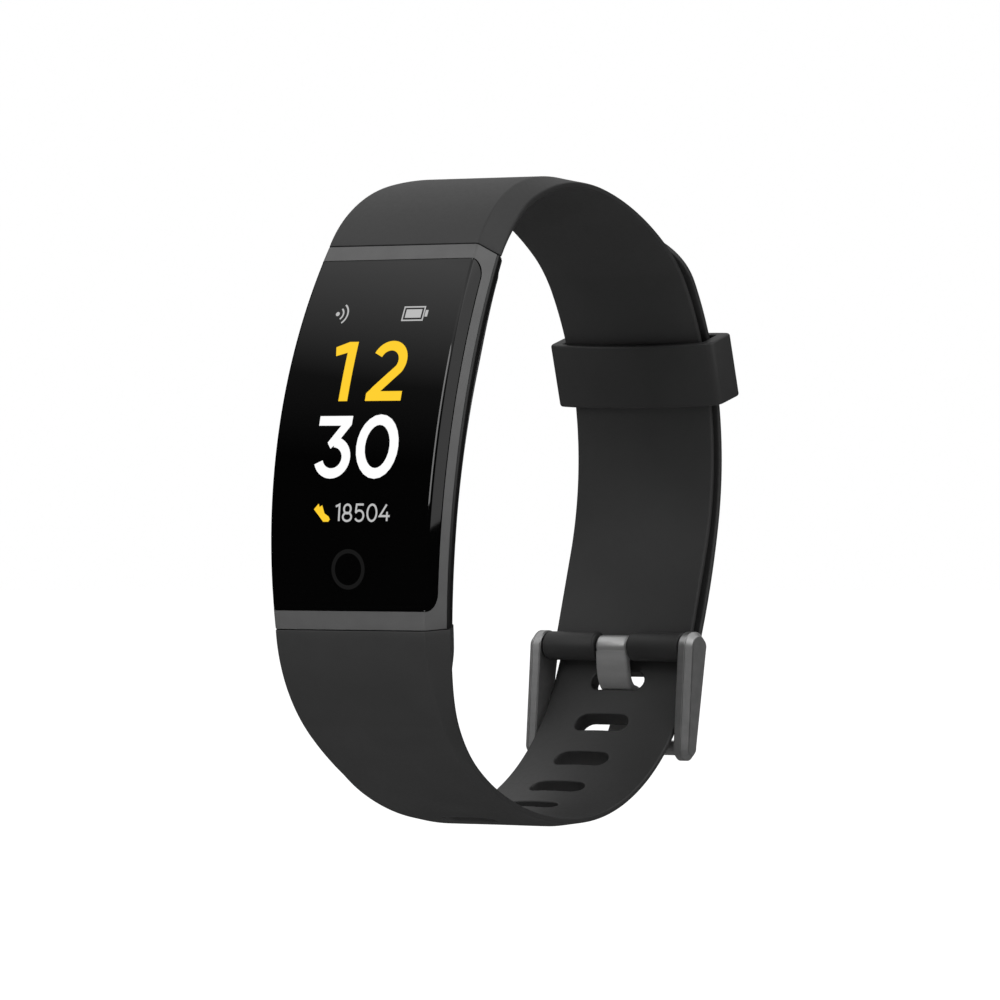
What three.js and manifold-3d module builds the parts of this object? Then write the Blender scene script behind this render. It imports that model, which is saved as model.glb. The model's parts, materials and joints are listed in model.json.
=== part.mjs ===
// Fitness tracker band: a curved tracker module on a two-part silicone strap, closed by a pin
// buckle. Millimetres. X runs across the band, -Y is the display side and +Z is the display's top.
// The origin is the centre of the wrist opening.
//
// Seen from the side (the YZ plane) the band's outer face is two chains of tangent arcs that leave
// the module's face: one goes over the top and ends at the buckle pin, the other goes round the
// bottom, up the back outside the first and ends in the free tail.
import * as THREE from "three";
import { mergeVertices } from "three/addons/utils/BufferGeometryUtils.js";
import Module from "manifold-3d";

const wasm = await Module();
wasm.setup();

const { PI, abs, asin, cos, max, min, round, sin, sqrt } = Math;
const rad = THREE.MathUtils.degToRad;
const smooth = THREE.MathUtils.smoothstep;
const mix = THREE.MathUtils.lerp;

// ---------------------------------------------------------------- driving dimensions
const GAP = 0.15; // between pieces that rest on each other

// The module's face: an arc that leans back.
const FACE_RADIUS = 55;
const FACE_CHORD = 35.65;
const FACE_LEAN = rad(13.6);
const FACE_MID = { y: -19.645, z: 5.975 }; // middle of the chord
const FACE_HALF_ANGLE = asin(FACE_CHORD / 2 / FACE_RADIUS);
const FACE_END = FACE_RADIUS * FACE_HALF_ANGLE; // arc length from the middle to either end
const FACE_SAG = FACE_RADIUS * (1 - cos(FACE_HALF_ANGLE));

// Cross-section at the module: a flat face between bevelled sides.
const FLAT_MIDDLE = 8.73; // half width of the face at the module's middle
const FLAT_TAPER = 0.6; // and how much less it is at the ends
const BEVEL_WIDTH = 1.4;
const BEVEL_DEPTH = 2.3;

// The straps. The keeper slides where both run round the same centre at the back.
const BACK_CENTRE = { y: -4.6, z: 4.1 };
const BACK_RADIUS = 30.35; // outer face of the buckle strap
const TAIL_RADIUS = 31.85; // outer face of the tail, which lies over it
const STRAP_HALF = 7.56;
const STRAP_EDGE = 0.5; // thickness of the strap's side edge
const UPPER_ARCS = [
  [13.4, rad(44.5)],
  [30.3, rad(49.3)],
];
const UPPER_LEAVES = rad(-17.5); // where the buckle strap runs straight to its pin
const UPPER_LINE = 8.9;
const LOWER_ARCS = [
  [15.9, rad(40)],
  [29.5, rad(49.3)],
  [21.5, rad(60.4)],
];
const TAIL_END = rad(44.5); // angle at which the tail ends, round BACK_CENTRE
const SLOT = { wide: 5.8, long: 2.05, pitch: 5.2, count: 13, tongue: 7 };

// The buckle.
const PIN = { y: 20.1, z: -13.55, lug: 1.36, bar: 0.65, bore: 0.8 };
const BUCKLE = {
  inside: 7.72,
  outside: 9.16,
  head: 1.5, // radius of an arm's top
  lean: 0.15, // how far behind the pin the top's middle is
  toe: 1.15, // radius of the foot
  chamfer: 0.38,
  foot: { y: 19.1, z: -22.98 },
  bar: 0.7,
};
const TONGUE = { half: 1.72, thick: 0.85, ring: 1.05 };
const SPRING_BAR = {
  tube: 7.2, // half length
  bore: 0.47,
  tip: 0.38,
  tipFrom: 4.4,
  tipTo: 8.45,
  coil: 0.28,
  wire: 0.08,
  turns: 5,
};
const KEEPER = { angle: rad(16.1), long: 6.1, half: 9.15, inside: 7.85 };

// The charging plug, which the lower strap's end hides.
const PLUG = { y: -19.86, z: -10.98, dir: [0.19, -0.982], half: 5.6, thick: 1.7, out: 9 };

// ---------------------------------------------------------------- solids
const material = (color, roughness, metalness = 0, extra = {}) =>
  new THREE.MeshStandardMaterial({ color, roughness, metalness, ...extra });
const LOOKS = {
  silicone: material(0x242424, 0.55),
  glass: material(0x060607, 0.08),
  housing: material(0x141415, 0.35),
  bezel: material(0x6b6c6d, 0.45),
  gunmetal: material(0x6f7071, 0.3, 0.9),
  steel: material(0xb9bbbd, 0.3, 1),
  gold: material(0xd9b45a, 0.3, 1),
  board: material(0x15452c, 0.6),
  chip: material(0x1b1b1d, 0.5),
  foam: material(0x2e2e30, 0.9),
  battery: material(0xa9abad, 0.4, 0.6),
  display: material(0x08090a, 0.2),
  led: material(0x46c96a, 0.3),
};

/** A closed mesh with shared vertices, as a solid that can be cut and joined. */
function solid(geometry) {
  const bare = geometry.clone();
  bare.deleteAttribute("normal");
  bare.deleteAttribute("uv");
  const merged = mergeVertices(bare, 1e-4);
  return new wasm.Manifold(
    new wasm.Mesh({
      numProp: 3,
      vertProperties: new Float32Array(merged.attributes.position.array),
      triVerts: new Uint32Array(merged.index.array),
    }),
  );
}

function geometryOf(body) {
  const mesh = body.getMesh();
  const geometry = new THREE.BufferGeometry();
  geometry.setAttribute("position", new THREE.BufferAttribute(mesh.vertProperties, 3));
  geometry.setIndex(new THREE.BufferAttribute(mesh.triVerts, 1));
  geometry.computeVertexNormals();
  return geometry;
}

const cut = (base, ...tools) =>
  geometryOf(tools.reduce((body, tool) => body.subtract(solid(tool)), solid(base)));
const join = (base, ...others) =>
  geometryOf(others.reduce((body, other) => body.add(solid(other)), solid(base)));

const moved = (geometry, x, y, z) => geometry.clone().translate(x, y, z);
const box = (x, y, z) => new THREE.BoxGeometry(x, y, z);

/** A cylinder along X. */
const rod = (radius, length, sides = 20) =>
  new THREE.CylinderGeometry(radius, radius, length, sides).rotateZ(PI / 2);

/** A rectangle with rounded corners in the XY plane. */
function roundedRectangle(width, height, radius) {
  const [w, h, r] = [width / 2, height / 2, radius];
  const shape = new THREE.Shape();
  shape.moveTo(-w + r, -h);
  shape.lineTo(w - r, -h);
  shape.absarc(w - r, -h + r, r, -PI / 2, 0);
  shape.lineTo(w, h - r);
  shape.absarc(w - r, h - r, r, 0, PI / 2);
  shape.lineTo(-w + r, h);
  shape.absarc(-w + r, h - r, r, PI / 2, PI);
  shape.lineTo(-w, -h + r);
  shape.absarc(-w + r, -h + r, r, PI, 1.5 * PI);
  return shape;
}

const slab = (shape, depth, curveSegments = 4) =>
  new THREE.ExtrudeGeometry(shape, { depth, bevelEnabled: false, curveSegments });

/** A solid through rings of points. Each ring is { section: [[x, depth]], place: (x, depth) => point }. */
function loft(rings) {
  const count = rings[0].section.length;
  const positions = rings.flatMap(({ section, place }) =>
    section.flatMap(([x, depth]) => place(x, depth)),
  );
  const index = [];
  for (let ring = 0; ring + 1 < rings.length; ring++)
    for (let i = 0; i < count; i++) {
      const a = ring * count + i;
      const b = ring * count + ((i + 1) % count);
      index.push(a, b, b + count, a, b + count, a + count);
    }
  // Caps come out anticlockwise whichever way the section runs.
  const last = (rings.length - 1) * count;
  const outline = ({ section }) => section.map(([x, y]) => new THREE.Vector2(x, y));
  const cap = (ring) => THREE.ShapeUtils.triangulateShape(outline(ring), []);
  const clockwise = THREE.ShapeUtils.isClockWise(outline(rings[0]));
  const wound = ([a, b, c], reverse) => (reverse ? [c, b, a] : [a, b, c]);
  for (const face of cap(rings[0])) index.push(...wound(face, !clockwise));
  for (const face of cap(rings.at(-1))) index.push(...wound(face, clockwise).map((i) => last + i));
  const geometry = new THREE.BufferGeometry();
  geometry.setAttribute("position", new THREE.Float32BufferAttribute(positions, 3));
  geometry.setIndex(index);
  return facingOut(geometry);
}

/** Turns an inside-out solid's faces round. */
function facingOut(geometry) {
  const p = geometry.attributes.position;
  const [a, b, c] = [new THREE.Vector3(), new THREE.Vector3(), new THREE.Vector3()];
  const index = geometry.index.array;
  let volume = 0;
  for (let i = 0; i < index.length; i += 3) {
    a.fromBufferAttribute(p, index[i]);
    b.fromBufferAttribute(p, index[i + 1]);
    c.fromBufferAttribute(p, index[i + 2]);
    volume += a.dot(b.cross(c));
  }
  if (volume < 0)
    for (let i = 0; i < index.length; i += 3)
      [index[i + 1], index[i + 2]] = [index[i + 2], index[i + 1]];
  return geometry;
}

// ---------------------------------------------------------------- the side view
/** A chain of tangent arcs. Angles are those of the outward normal, from +Y towards +Z. */
class Profile {
  constructor(start, angle, turn) {
    Object.assign(this, { end: start, angle, turn, pieces: [], length: 0 });
  }
  add(length, at, endAngle) {
    this.pieces.push({ from: this.length, length, at });
    this.length += length;
    this.end = at(length);
    this.angle = endAngle;
    return this;
  }
  arc(radius, sweep) {
    const { end, angle, turn } = this;
    const centre = { y: end.y - radius * cos(angle), z: end.z - radius * sin(angle) };
    const at = (s) => {
      const a = angle + (turn * s) / radius;
      return { y: centre.y + radius * cos(a), z: centre.z + radius * sin(a), angle: a };
    };
    return this.add(radius * sweep, at, angle + turn * sweep);
  }
  /** The one arc that runs from here into a circle, then the circle as far as the given angle. */
  arcOnto(centre, radius, until) {
    const { end, angle, turn } = this;
    const [dy, dz] = [end.y - centre.y, end.z - centre.z];
    const out = dy * cos(angle) + dz * sin(angle);
    const joining = (dy * dy + dz * dz - radius * radius) / (2 * (out - radius));
    const side = Math.sign(radius - joining);
    const [cy, cz] = [dy - joining * cos(angle), dz - joining * sin(angle)];
    const meets = Math.atan2(side * cz, side * cy);
    const sweep = (((meets - angle) * turn) % (2 * PI) + 2 * PI) % (2 * PI);
    this.arc(joining, sweep);
    const rest = ((((until - this.angle) * turn) % (2 * PI)) + 2 * PI) % (2 * PI);
    return this.arc(radius, rest);
  }
  line(length) {
    const { end, angle, turn } = this;
    const at = (s) => ({
      y: end.y - turn * s * sin(angle),
      z: end.z + turn * s * cos(angle),
      angle,
    });
    return this.add(length, at, angle);
  }
  at(s) {
    const piece = this.pieces.findLast((p) => p.from <= s) ?? this.pieces[0];
    return piece.at(s - piece.from);
  }
}

const along = [sin(FACE_LEAN), cos(FACE_LEAN)];
const faceEnd = (side) => ({
  y: FACE_MID.y + (side * FACE_CHORD * along[0]) / 2,
  z: FACE_MID.z + (side * FACE_CHORD * along[1]) / 2,
});
const FACE_NORMAL = PI - FACE_LEAN; // outward normal at the middle of the face

const upperPath = new Profile(faceEnd(1), FACE_NORMAL - FACE_HALF_ANGLE, -1);
for (const [radius, sweep] of UPPER_ARCS) upperPath.arc(radius, sweep);
upperPath.arcOnto(BACK_CENTRE, BACK_RADIUS, UPPER_LEAVES).line(UPPER_LINE);
const lowerPath = new Profile(faceEnd(-1), FACE_NORMAL + FACE_HALF_ANGLE, 1);
for (const [radius, sweep] of LOWER_ARCS) lowerPath.arc(radius, sweep);
lowerPath.arcOnto(BACK_CENTRE, TAIL_RADIUS, TAIL_END);

/** A ring of the strap at distance s along a path, from that place's section. */
function ringAt(path, s, section) {
  const { y, z, angle } = path.at(s);
  const place = (x, depth) => [x, y - depth * cos(angle), z - depth * sin(angle)];
  return { section, place };
}

const FLAT_END = FLAT_MIDDLE - FLAT_TAPER;
/** Sizes of the strap at distance s from the module. */
const upperSize = (s) => ({
  flat: mix(FLAT_END, 5.3, smooth(s, 0, 26)),
  half: mix(FLAT_END + BEVEL_WIDTH, STRAP_HALF, smooth(s, 0, 23)),
  rise: mix(BEVEL_DEPTH, 0.7, smooth(s, 4, 24)),
  crown: mix(0.65, 0.15, smooth(s, 66, 75)),
  boss: mix(2.3, 0, smooth(s, 2, 14)),
});
const lowerSize = (s) => ({
  flat: mix(FLAT_END, 5.3, smooth(s, 0, 38)),
  half: mix(FLAT_END + BEVEL_WIDTH, STRAP_HALF, smooth(s, 0, 17)),
  rise: mix(BEVEL_DEPTH, 0.8, smooth(s, 0, 21)),
  crown: mix(0.45, 1.1, smooth(s, 28, 50)) - mix(0, 0.5, smooth(s, 54, 61.5)),
  boss: mix(3.6, 0, smooth(s, 3.5, 16)),
});

/** The strap's section: flat outer face, bevelled sides, crowned inner face with a narrower boss. */
function strapSection({ flat, half, rise, crown, boss }) {
  const inner = [1, 0.86, 0.72, 0.45, 0.15].map((share) => {
    const bossShare = smooth(1 - share, 0.06, 0.26);
    return [half * share, rise + crown * (1 - share * share) + boss * bossShare];
  });
  const right = [[flat, 0], [half, rise - STRAP_EDGE], ...inner];
  return [...right, ...right.map(([x, d]) => [-x, d]).reverse()];
}

/** A length of strap from one distance to another, in equal steps of about the given size. */
function strapLength(path, size, from, to, step = 1.7) {
  const steps = max(2, round((to - from) / step));
  const rings = [];
  for (let i = 0; i <= steps; i++) {
    const s = mix(from, to, i / steps);
    rings.push(ringAt(path, s, strapSection(size(s))));
  }
  return loft(rings);
}

// ---------------------------------------------------------------- the module, in its own frame
// In this frame +Z runs up the chord, +Y goes into the module and the face's middle is the origin.
const moduleGroup = new THREE.Group();
moduleGroup.rotation.x = -FACE_LEAN;
moduleGroup.position.set(
  0,
  FACE_MID.y - FACE_SAG * cos(FACE_LEAN),
  FACE_MID.z + FACE_SAG * sin(FACE_LEAN),
);

/** A ring of the curved module at arc distance u from its middle. */
function faceRing(u, section) {
  const a = u / FACE_RADIUS;
  const place = (x, depth) => [
    x,
    FACE_RADIUS - (FACE_RADIUS - depth) * cos(a),
    (FACE_RADIUS - depth) * sin(a),
  ];
  return { section, place };
}

function faceLoft(from, to, section, steps = 16) {
  const rings = [];
  for (let i = 0; i <= steps; i++) {
    const u = mix(from, to, i / steps);
    rings.push(faceRing(u, section(u)));
  }
  return loft(rings);
}

const mirrored = (right) => [...right, ...right.map(([x, d]) => [-x, d]).reverse()];
const flatAt = (u) => FLAT_MIDDLE - FLAT_TAPER * (u / FACE_END) ** 2;

const GLASS = { from: -16.4, to: 16.55, thick: 1, lap: 0.6, corner: 1.6 };
const LEDGE_HALF = 7.6;
const LEDGE_END = 15.9;
const SEAL = { from: 1.6, to: 1, top: 2.4, bottom: 2.85 }; // measured in from the widest line

/** How far the glass reaches down the bevel, less near its rounded ends. */
function glassLap(u, grow) {
  const toEnd = min(u - GLASS.from, GLASS.to - u) + grow;
  const share = min(1, max(0, toEnd) / GLASS.corner);
  return GLASS.lap * sqrt(1 - (1 - share) ** 2) + grow;
}
const glassSection = (grow, thick) => (u) => {
  const lap = max(0.02, glassLap(u, grow));
  return mirrored([
    [flatAt(u), grow ? -1 : 0],
    [flatAt(u) + lap, (lap * BEVEL_DEPTH) / BEVEL_WIDTH - grow],
    [flatAt(u) + lap, thick],
  ]);
};

function coverGlass() {
  return faceLoft(GLASS.from, GLASS.to, glassSection(0, GLASS.thick + 0.05), 24);
}

function glassPocket() {
  const grow = GAP / 2;
  const section = (u) => {
    const half = flatAt(u) + max(0.02, glassLap(u, grow));
    return mirrored([[half, -1], [half, GLASS.thick + 0.2]]);
  };
  return faceLoft(GLASS.from - grow, GLASS.to + grow, section, 24);
}

function bezelFrame() {
  const section = (u) =>
    mirrored([
      [flatAt(u), 0],
      [flatAt(u) + BEVEL_WIDTH, BEVEL_DEPTH - 0.25],
      [flatAt(u) + BEVEL_WIDTH, BEVEL_DEPTH],
    ]);
  const opening = faceLoft(-LEDGE_END, LEDGE_END, () => mirrored([[LEDGE_HALF, -1], [LEDGE_HALF, 5]]), 8);
  return cut(faceLoft(-FACE_END, FACE_END, section), glassPocket(), opening);
}

/** A thin frame that follows the module's face, between two outlines. */
function faceFrame(outerHalf, outerEnd, width, top, bottom, steps = 10) {
  const wall = (u) => mirrored([[outerHalf(u), top], [outerHalf(u), bottom]]);
  const outer = faceLoft(-outerEnd, outerEnd, wall, steps);
  const innerHalf = (u) => outerHalf(u) - width;
  const hole = faceLoft(
    width - outerEnd,
    outerEnd - width,
    (u) => mirrored([[innerHalf(u), top - 1], [innerHalf(u), bottom + 1]]),
    steps,
  );
  return cut(outer, hole);
}

const HOUSING = { top: 2.45, lip: 0.15, wall: 0.9, deep: 10.2, endDeep: 6.4, level: 9 };
const housingDepth = (u) => mix(HOUSING.deep, HOUSING.endDeep, smooth(abs(u), HOUSING.level, FACE_END));

/** The housing's section, boat-shaped so that it hides behind the bezel. */
function housingSection(u, inset, top) {
  const deep = housingDepth(u) - inset;
  const half = flatAt(u) + BEVEL_WIDTH - HOUSING.lip - inset;
  const span = deep - HOUSING.top;
  return mirrored([
    [half, top],
    [half, HOUSING.top + 0.3],
    [half - 0.29 * span, HOUSING.top + 0.42 * span],
    [half - 0.53 * span, HOUSING.top + 0.82 * span],
    [half - 0.72 * span, deep],
  ]);
}

function lowerHousing() {
  const { wall, top } = HOUSING;
  const shell = faceLoft(-FACE_END, FACE_END, (u) => housingSection(u, 0, top), 18);
  const hollow = faceLoft(wall - FACE_END, FACE_END - wall, (u) => housingSection(u, wall, top - 1), 14);
  const rebateHalf = (u) => flatAt(u) + BEVEL_WIDTH - SEAL.to + 0.1;
  const rebate = faceFrame(rebateHalf, FACE_END - SEAL.to + 0.1, 0.8, 1.5, 3);
  const tenon = moved(box(2 * TENON.half, TENON.thick, TENON.out + 0.6), 0, 0, TENON.out / 2 - 0.3);
  const outside = join(shell, onTenon(tenon));
  return cut(
    outside,
    hollow,
    rebate,
    moved(slab(roundedRectangle(WINDOW.x + 0.3, WINDOW.z + 0.3, 2.2), 6).rotateX(PI / 2), 0, 12, 0),
    inModule(plugBox(2 * PLUG.half + 0.3, PLUG.thick + 0.3, -2, 2)),
    onTenon(moved(rod(TENON.pin + 0.15, 20, 12), 0, 0, TENON.hole)),
  );
}

// The tenon that the upper strap is pinned to, square to the housing's top end.
const TENON = { half: 6, thick: 1.8, out: 4.6, depth: 3.6, pin: 0.6, hole: 2.9 };
function onTenon(geometry) {
  const a = FACE_HALF_ANGLE;
  const reach = FACE_RADIUS - TENON.depth;
  return geometry
    .clone()
    .rotateX(-a)
    .translate(0, FACE_RADIUS - reach * cos(a), reach * sin(a));
}

// A solid given in the part's frame, as seen from the module's frame.
moduleGroup.updateMatrix();
const toModule = moduleGroup.matrix.clone().invert();
const inModule = (geometry) => geometry.clone().applyMatrix4(toModule);
const inPart = (geometry) => geometry.clone().applyMatrix4(moduleGroup.matrix);

/** A box round the plug's line, from one distance out of the housing to another. */
function plugBox(width, thick, from, to, offset = 0) {
  const angle = Math.atan2(PLUG.dir[0], -PLUG.dir[1]);
  return box(width, thick, to - from)
    .translate(0, offset, -(from + to) / 2)
    .rotateX(angle)
    .translate(0, PLUG.y, PLUG.z);
}

// ---------------------------------------------------------------- what the module holds
const WINDOW = { x: 7.6, z: 11, top: 9.95, proud: 11 };
const SENSOR_BOARD = { x: 8, y: 0.5, z: 10, at: 8.6 };
const BOARD = { x: 12.4, y: 0.8, z: 27, at: 5.3 };
const MOTOR = { radius: 2.6, wall: 0.3, deep: 2.2, at: 7.85, z: -7.6 };

function motorCase() {
  const can = new THREE.CylinderGeometry(MOTOR.radius, MOTOR.radius, MOTOR.deep, 24);
  const inside = MOTOR.radius - MOTOR.wall;
  return cut(can, moved(new THREE.CylinderGeometry(inside, inside, MOTOR.deep, 24), 0, -MOTOR.wall, 0));
}

/** A half-disc weight on a short shaft. */
function motorRotor() {
  const half = new THREE.Shape();
  half.absarc(0, 0, MOTOR.radius - MOTOR.wall - 0.3, PI, 2 * PI);
  const weight = slab(half, 1, 12).rotateX(PI / 2).translate(0, 0.5, 0);
  return join(weight, new THREE.CylinderGeometry(0.6, 0.6, 1.5, 12));
}

/** A thin strip bent in a Z between the main board and the sensor board. */
function flexCable() {
  const t = 0.15;
  const foot = 1.3;
  const strip = new THREE.Shape();
  const height = SENSOR_BOARD.at - SENSOR_BOARD.y / 2 - (BOARD.at + BOARD.y / 2) - 2 * GAP;
  strip.moveTo(-foot, 0);
  strip.lineTo(t, 0);
  strip.lineTo(t, height - t);
  strip.lineTo(foot, height - t);
  strip.lineTo(foot, height);
  strip.lineTo(0, height);
  strip.lineTo(0, t);
  strip.lineTo(-foot, t);
  return slab(strip, 4).translate(0, 0, -2).rotateY(-PI / 2);
}

const root = new THREE.Group();
root.name = "fitness_tracker_band";

function put(group, name, geometry, look, x = 0, y = 0, z = 0) {
  const mesh = new THREE.Mesh(geometry, LOOKS[look].clone());
  mesh.name = name;
  mesh.position.set(x, y, z);
  group.add(mesh);
  return mesh;
}

function addModule() {
  const add = (...piece) => put(moduleGroup, ...piece);
  add("cover_glass", coverGlass(), "glass");
  add("bezel_frame", bezelFrame(), "bezel");
  add("lower_housing", lowerHousing(), "housing");
  const sealHalf = (u) => flatAt(u) + BEVEL_WIDTH - SEAL.to;
  const sealEnd = FACE_END - SEAL.to;
  const ring = faceFrame(sealHalf, sealEnd, SEAL.from - SEAL.to, SEAL.top, SEAL.bottom);
  add("housing_seal", ring, "foam");
  add("touch_film", faceLoft(-15, 15, () => mirrored([[7.2, 1.2], [7.2, 1.4]]), 8), "display");
  add("display_panel", slab(roundedRectangle(12, 24, 0.8), 1.3).rotateX(PI / 2), "display", 0, 4.1, 0);
  const window = slab(roundedRectangle(11, 21.5, 0.4), 2).rotateX(PI / 2).translate(0, 1, 0);
  const bracket = slab(roundedRectangle(14, 28.4, 1), 0.45).rotateX(PI / 2);
  add("display_bracket", cut(bracket, window), "housing", 0, 4.75, 0);

  const under = BOARD.at + BOARD.y / 2 + 0.05;
  add("main_board", box(BOARD.x, BOARD.y, BOARD.z), "board", 0, BOARD.at, 0);
  add("processor_chip", box(5.6, 0.7, 3.4), "chip", 0, under + 0.35, -11.2);
  add("motion_sensor", box(2.4, 0.7, 2.2), "chip", 3.6, under + 0.35, -4.6);
  add("charging_chip", box(2.6, 0.7, 2.2), "chip", -3.6, under + 0.35, -4.6);
  add("antenna", box(7.4, 0.7, 1.4), "steel", 0, under + 0.35, 12.2);
  const foamMiddle = under + 0.15;
  const batteryMiddle = under + 0.35 + 1.05;
  add("battery_pad", box(8.4, 0.25, 12), "foam", 0, foamMiddle, 5);
  const cell = slab(roundedRectangle(9.2, 13.4, 0.7), 2.1).rotateX(PI / 2);
  add("battery", cell, "battery", 0, batteryMiddle + 1.05, 4.6);
  add("vibration_motor_case", motorCase(), "steel", 0, MOTOR.at + 0.1, MOTOR.z);
  add("vibration_motor_rotor", motorRotor(), "steel", 0, MOTOR.at - 0.1, MOTOR.z);
  add("sensor_flex", flexCable(), "gold", 0, BOARD.at + BOARD.y / 2 + GAP, -4.4);
  const sensorBoard = box(SENSOR_BOARD.x, SENSOR_BOARD.y, SENSOR_BOARD.z - 1.4);
  add("sensor_board", sensorBoard, "board", 0, SENSOR_BOARD.at, 0.4);
  const onSensor = SENSOR_BOARD.at + SENSOR_BOARD.y / 2 + 0.05;
  for (const [side, z] of [["lower", -2.9], ["upper", 2.9]])
    add(`sensor_led_${side}`, box(1.6, 0.6, 1.3), "led", 0, onSensor + 0.3, z);
  add("sensor_photodiode", box(2.2, 0.5, 2.2), "chip", 0, onSensor + 0.25, 0);
  add("sensor_light_barrier", cut(box(3.8, 0.8, 3.8), box(2.8, 2, 2.8)), "foam", 0, onSensor + 0.4, 0);
  const windowDepth = WINDOW.proud - WINDOW.top;
  const windowShape = roundedRectangle(WINDOW.x, WINDOW.z, 2.1);
  add("sensor_window", slab(windowShape, windowDepth, 6).rotateX(PI / 2), "glass", 0, WINDOW.proud, 0);
  root.add(moduleGroup);
}

function addPlug() {
  const face = PLUG.thick / 2;
  const places = [-3.4, -1.15, 1.15, 3.4];
  const pocket = (x) => plugBox(1.5, 0.6, 2, PLUG.out - 0.4, face + 0.05).translate(x, 0, 0);
  const pad = () => plugBox(1.3, 0.2, 2.1, PLUG.out - 0.5, face - 0.08);
  const blade = plugBox(2 * PLUG.half, PLUG.thick, -2.6, PLUG.out);
  put(root, "charging_plug", cut(blade, ...places.map(pocket)), "housing");
  places.forEach((x, i) => put(root, `plug_contact_${i + 1}`, pad(), "gold", x));
}

// ---------------------------------------------------------------- the straps
const COLLAR_END = 12.4; // where the lower strap's rigid end gives way to the strap that bends
const FLEX_END = 36;
const START = 0.3; // the straps stop short of the module by this much

const slotPlaces = [];
{
  const target = -16.9; // height of the slot that the tongue goes through
  let s = 0;
  while (lowerPath.at(s).angle < 1.5 * PI || lowerPath.at(s).z < target - 0.55) s += 0.05;
  for (let i = 0; i < SLOT.count; i++) slotPlaces.push(s + (i - SLOT.tongue + 1) * SLOT.pitch);
}

function slotCutter(s) {
  const { y, z, angle } = lowerPath.at(s);
  const shape = roundedRectangle(SLOT.wide, SLOT.long, SLOT.long / 2 - 0.01);
  const turn = new THREE.Matrix4().makeBasis(
    new THREE.Vector3(1, 0, 0),
    new THREE.Vector3(0, sin(angle), -cos(angle)),
    new THREE.Vector3(0, cos(angle), sin(angle)),
  );
  return slab(shape, 8, 4).translate(0, 0, -5).applyMatrix4(turn).translate(0, y, z);
}

const inRange = (from, to) => slotPlaces.filter((s) => s > from && s < to).map(slotCutter);

/** The tail's free end is rounded in plan. */
function tailTip() {
  const length = lowerPath.length;
  const rounding = 6;
  const outline = (s) => {
    const into = max(0, s - (length - rounding)) / rounding;
    return STRAP_HALF * sqrt(max(0.02, 1 - into ** 2.4));
  };
  return (s) => {
    const size = lowerSize(s);
    const half = outline(s);
    return { ...size, half, flat: min(size.flat, half * 0.9) };
  };
}

function upperStrap() {
  const band = strapLength(upperPath, upperSize, START, upperPath.length, 1.7);
  const lug = rod(PIN.lug, 2 * STRAP_HALF, 24).translate(0, PIN.y, PIN.z);
  const room = { half: TENON.half + 0.25, thick: TENON.thick + 0.5, long: TENON.out + 1.3 };
  const tenonPocket = box(2 * room.half, room.thick, room.long)
    .translate(0, 0, TENON.out / 2 - 0.4);
  const pinHole = rod(TENON.pin + 0.15, 15, 12).translate(0, 0, TENON.hole);
  const notch = 2 * (TONGUE.half + 0.35);
  const openings = [
    inPart(onTenon(tenonPocket)),
    inPart(onTenon(pinHole)),
    rod(PIN.bore, 30, 16).translate(0, PIN.y, PIN.z),
    rod(TONGUE.ring + GAP, notch, 24).translate(0, PIN.y, PIN.z),
    box(notch, 9, 3).translate(0, PIN.y, PIN.z - 1.5),
  ];
  return cut(join(band, lug), ...openings);
}

function addStraps() {
  put(root, "upper_strap", upperStrap(), "silicone");
  const pin = inPart(onTenon(rod(TENON.pin, 14.2, 12).translate(0, 0, TENON.hole)));
  put(root, "upper_strap_pin", pin, "steel");

  const collar = strapLength(lowerPath, lowerSize, START, COLLAR_END, 1.4);
  const plugRoom = plugBox(2 * PLUG.half + 0.4, PLUG.thick + 0.4, -2, PLUG.out + 0.5);
  const socketRoom = plugBox(2 * PLUG.half + 1.4, PLUG.thick + 1.3, -2, 3.7);
  put(root, "lower_strap_collar", cut(collar, plugRoom, socketRoom), "silicone");
  const socket = plugBox(2 * PLUG.half + 1.1, PLUG.thick + 1, 0.75, 3.5);
  const throat = plugBox(2 * PLUG.half + 0.3, PLUG.thick + 0.3, -2, 5);
  put(root, "lower_strap_socket", cut(socket, throat), "housing");

  const bend = strapLength(lowerPath, lowerSize, COLLAR_END + START, FLEX_END, 1.7);
  put(root, "lower_strap_bend", cut(bend, ...inRange(COLLAR_END, FLEX_END)), "silicone");
  const band = strapLength(lowerPath, tailTip(), FLEX_END + START, lowerPath.length, 1.6);
  put(root, "lower_strap", cut(band, ...inRange(FLEX_END, lowerPath.length - 4)), "silicone");
}

/** The loop that holds the tail down. It is straight, and set square to the strap. */
function keeper() {
  const { long, half, inside } = KEEPER;
  const crownedBlock = (halfWidth, inner, outer, innerCrown, outerCrown, length) => {
    const shares = [1, 0.6, 0.2, -0.2, -0.6, -1];
    const face = (radius, crown) => shares.map((k) => [k * halfWidth, radius + crown * (1 - k * k)]);
    const section = [...face(inner, -innerCrown), ...face(outer, outerCrown).reverse()];
    const at = (z) => ({ section, place: (x, y) => [x, y, z] });
    return loft([at(-length / 2), at(length / 2)]);
  };
  const edge = BACK_RADIUS - 0.7; // the line of the buckle strap's inner edge
  const outside = crownedBlock(half, edge - 0.72, TAIL_RADIUS + 0.95, 0.95, 0.3, long);
  const hole = crownedBlock(inside, edge - 0.3, TAIL_RADIUS + 0.25, 0.65, 0, long + 2);
  return cut(outside, hole)
    .rotateX(KEEPER.angle)
    .translate(0, BACK_CENTRE.y, BACK_CENTRE.z);
}

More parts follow.
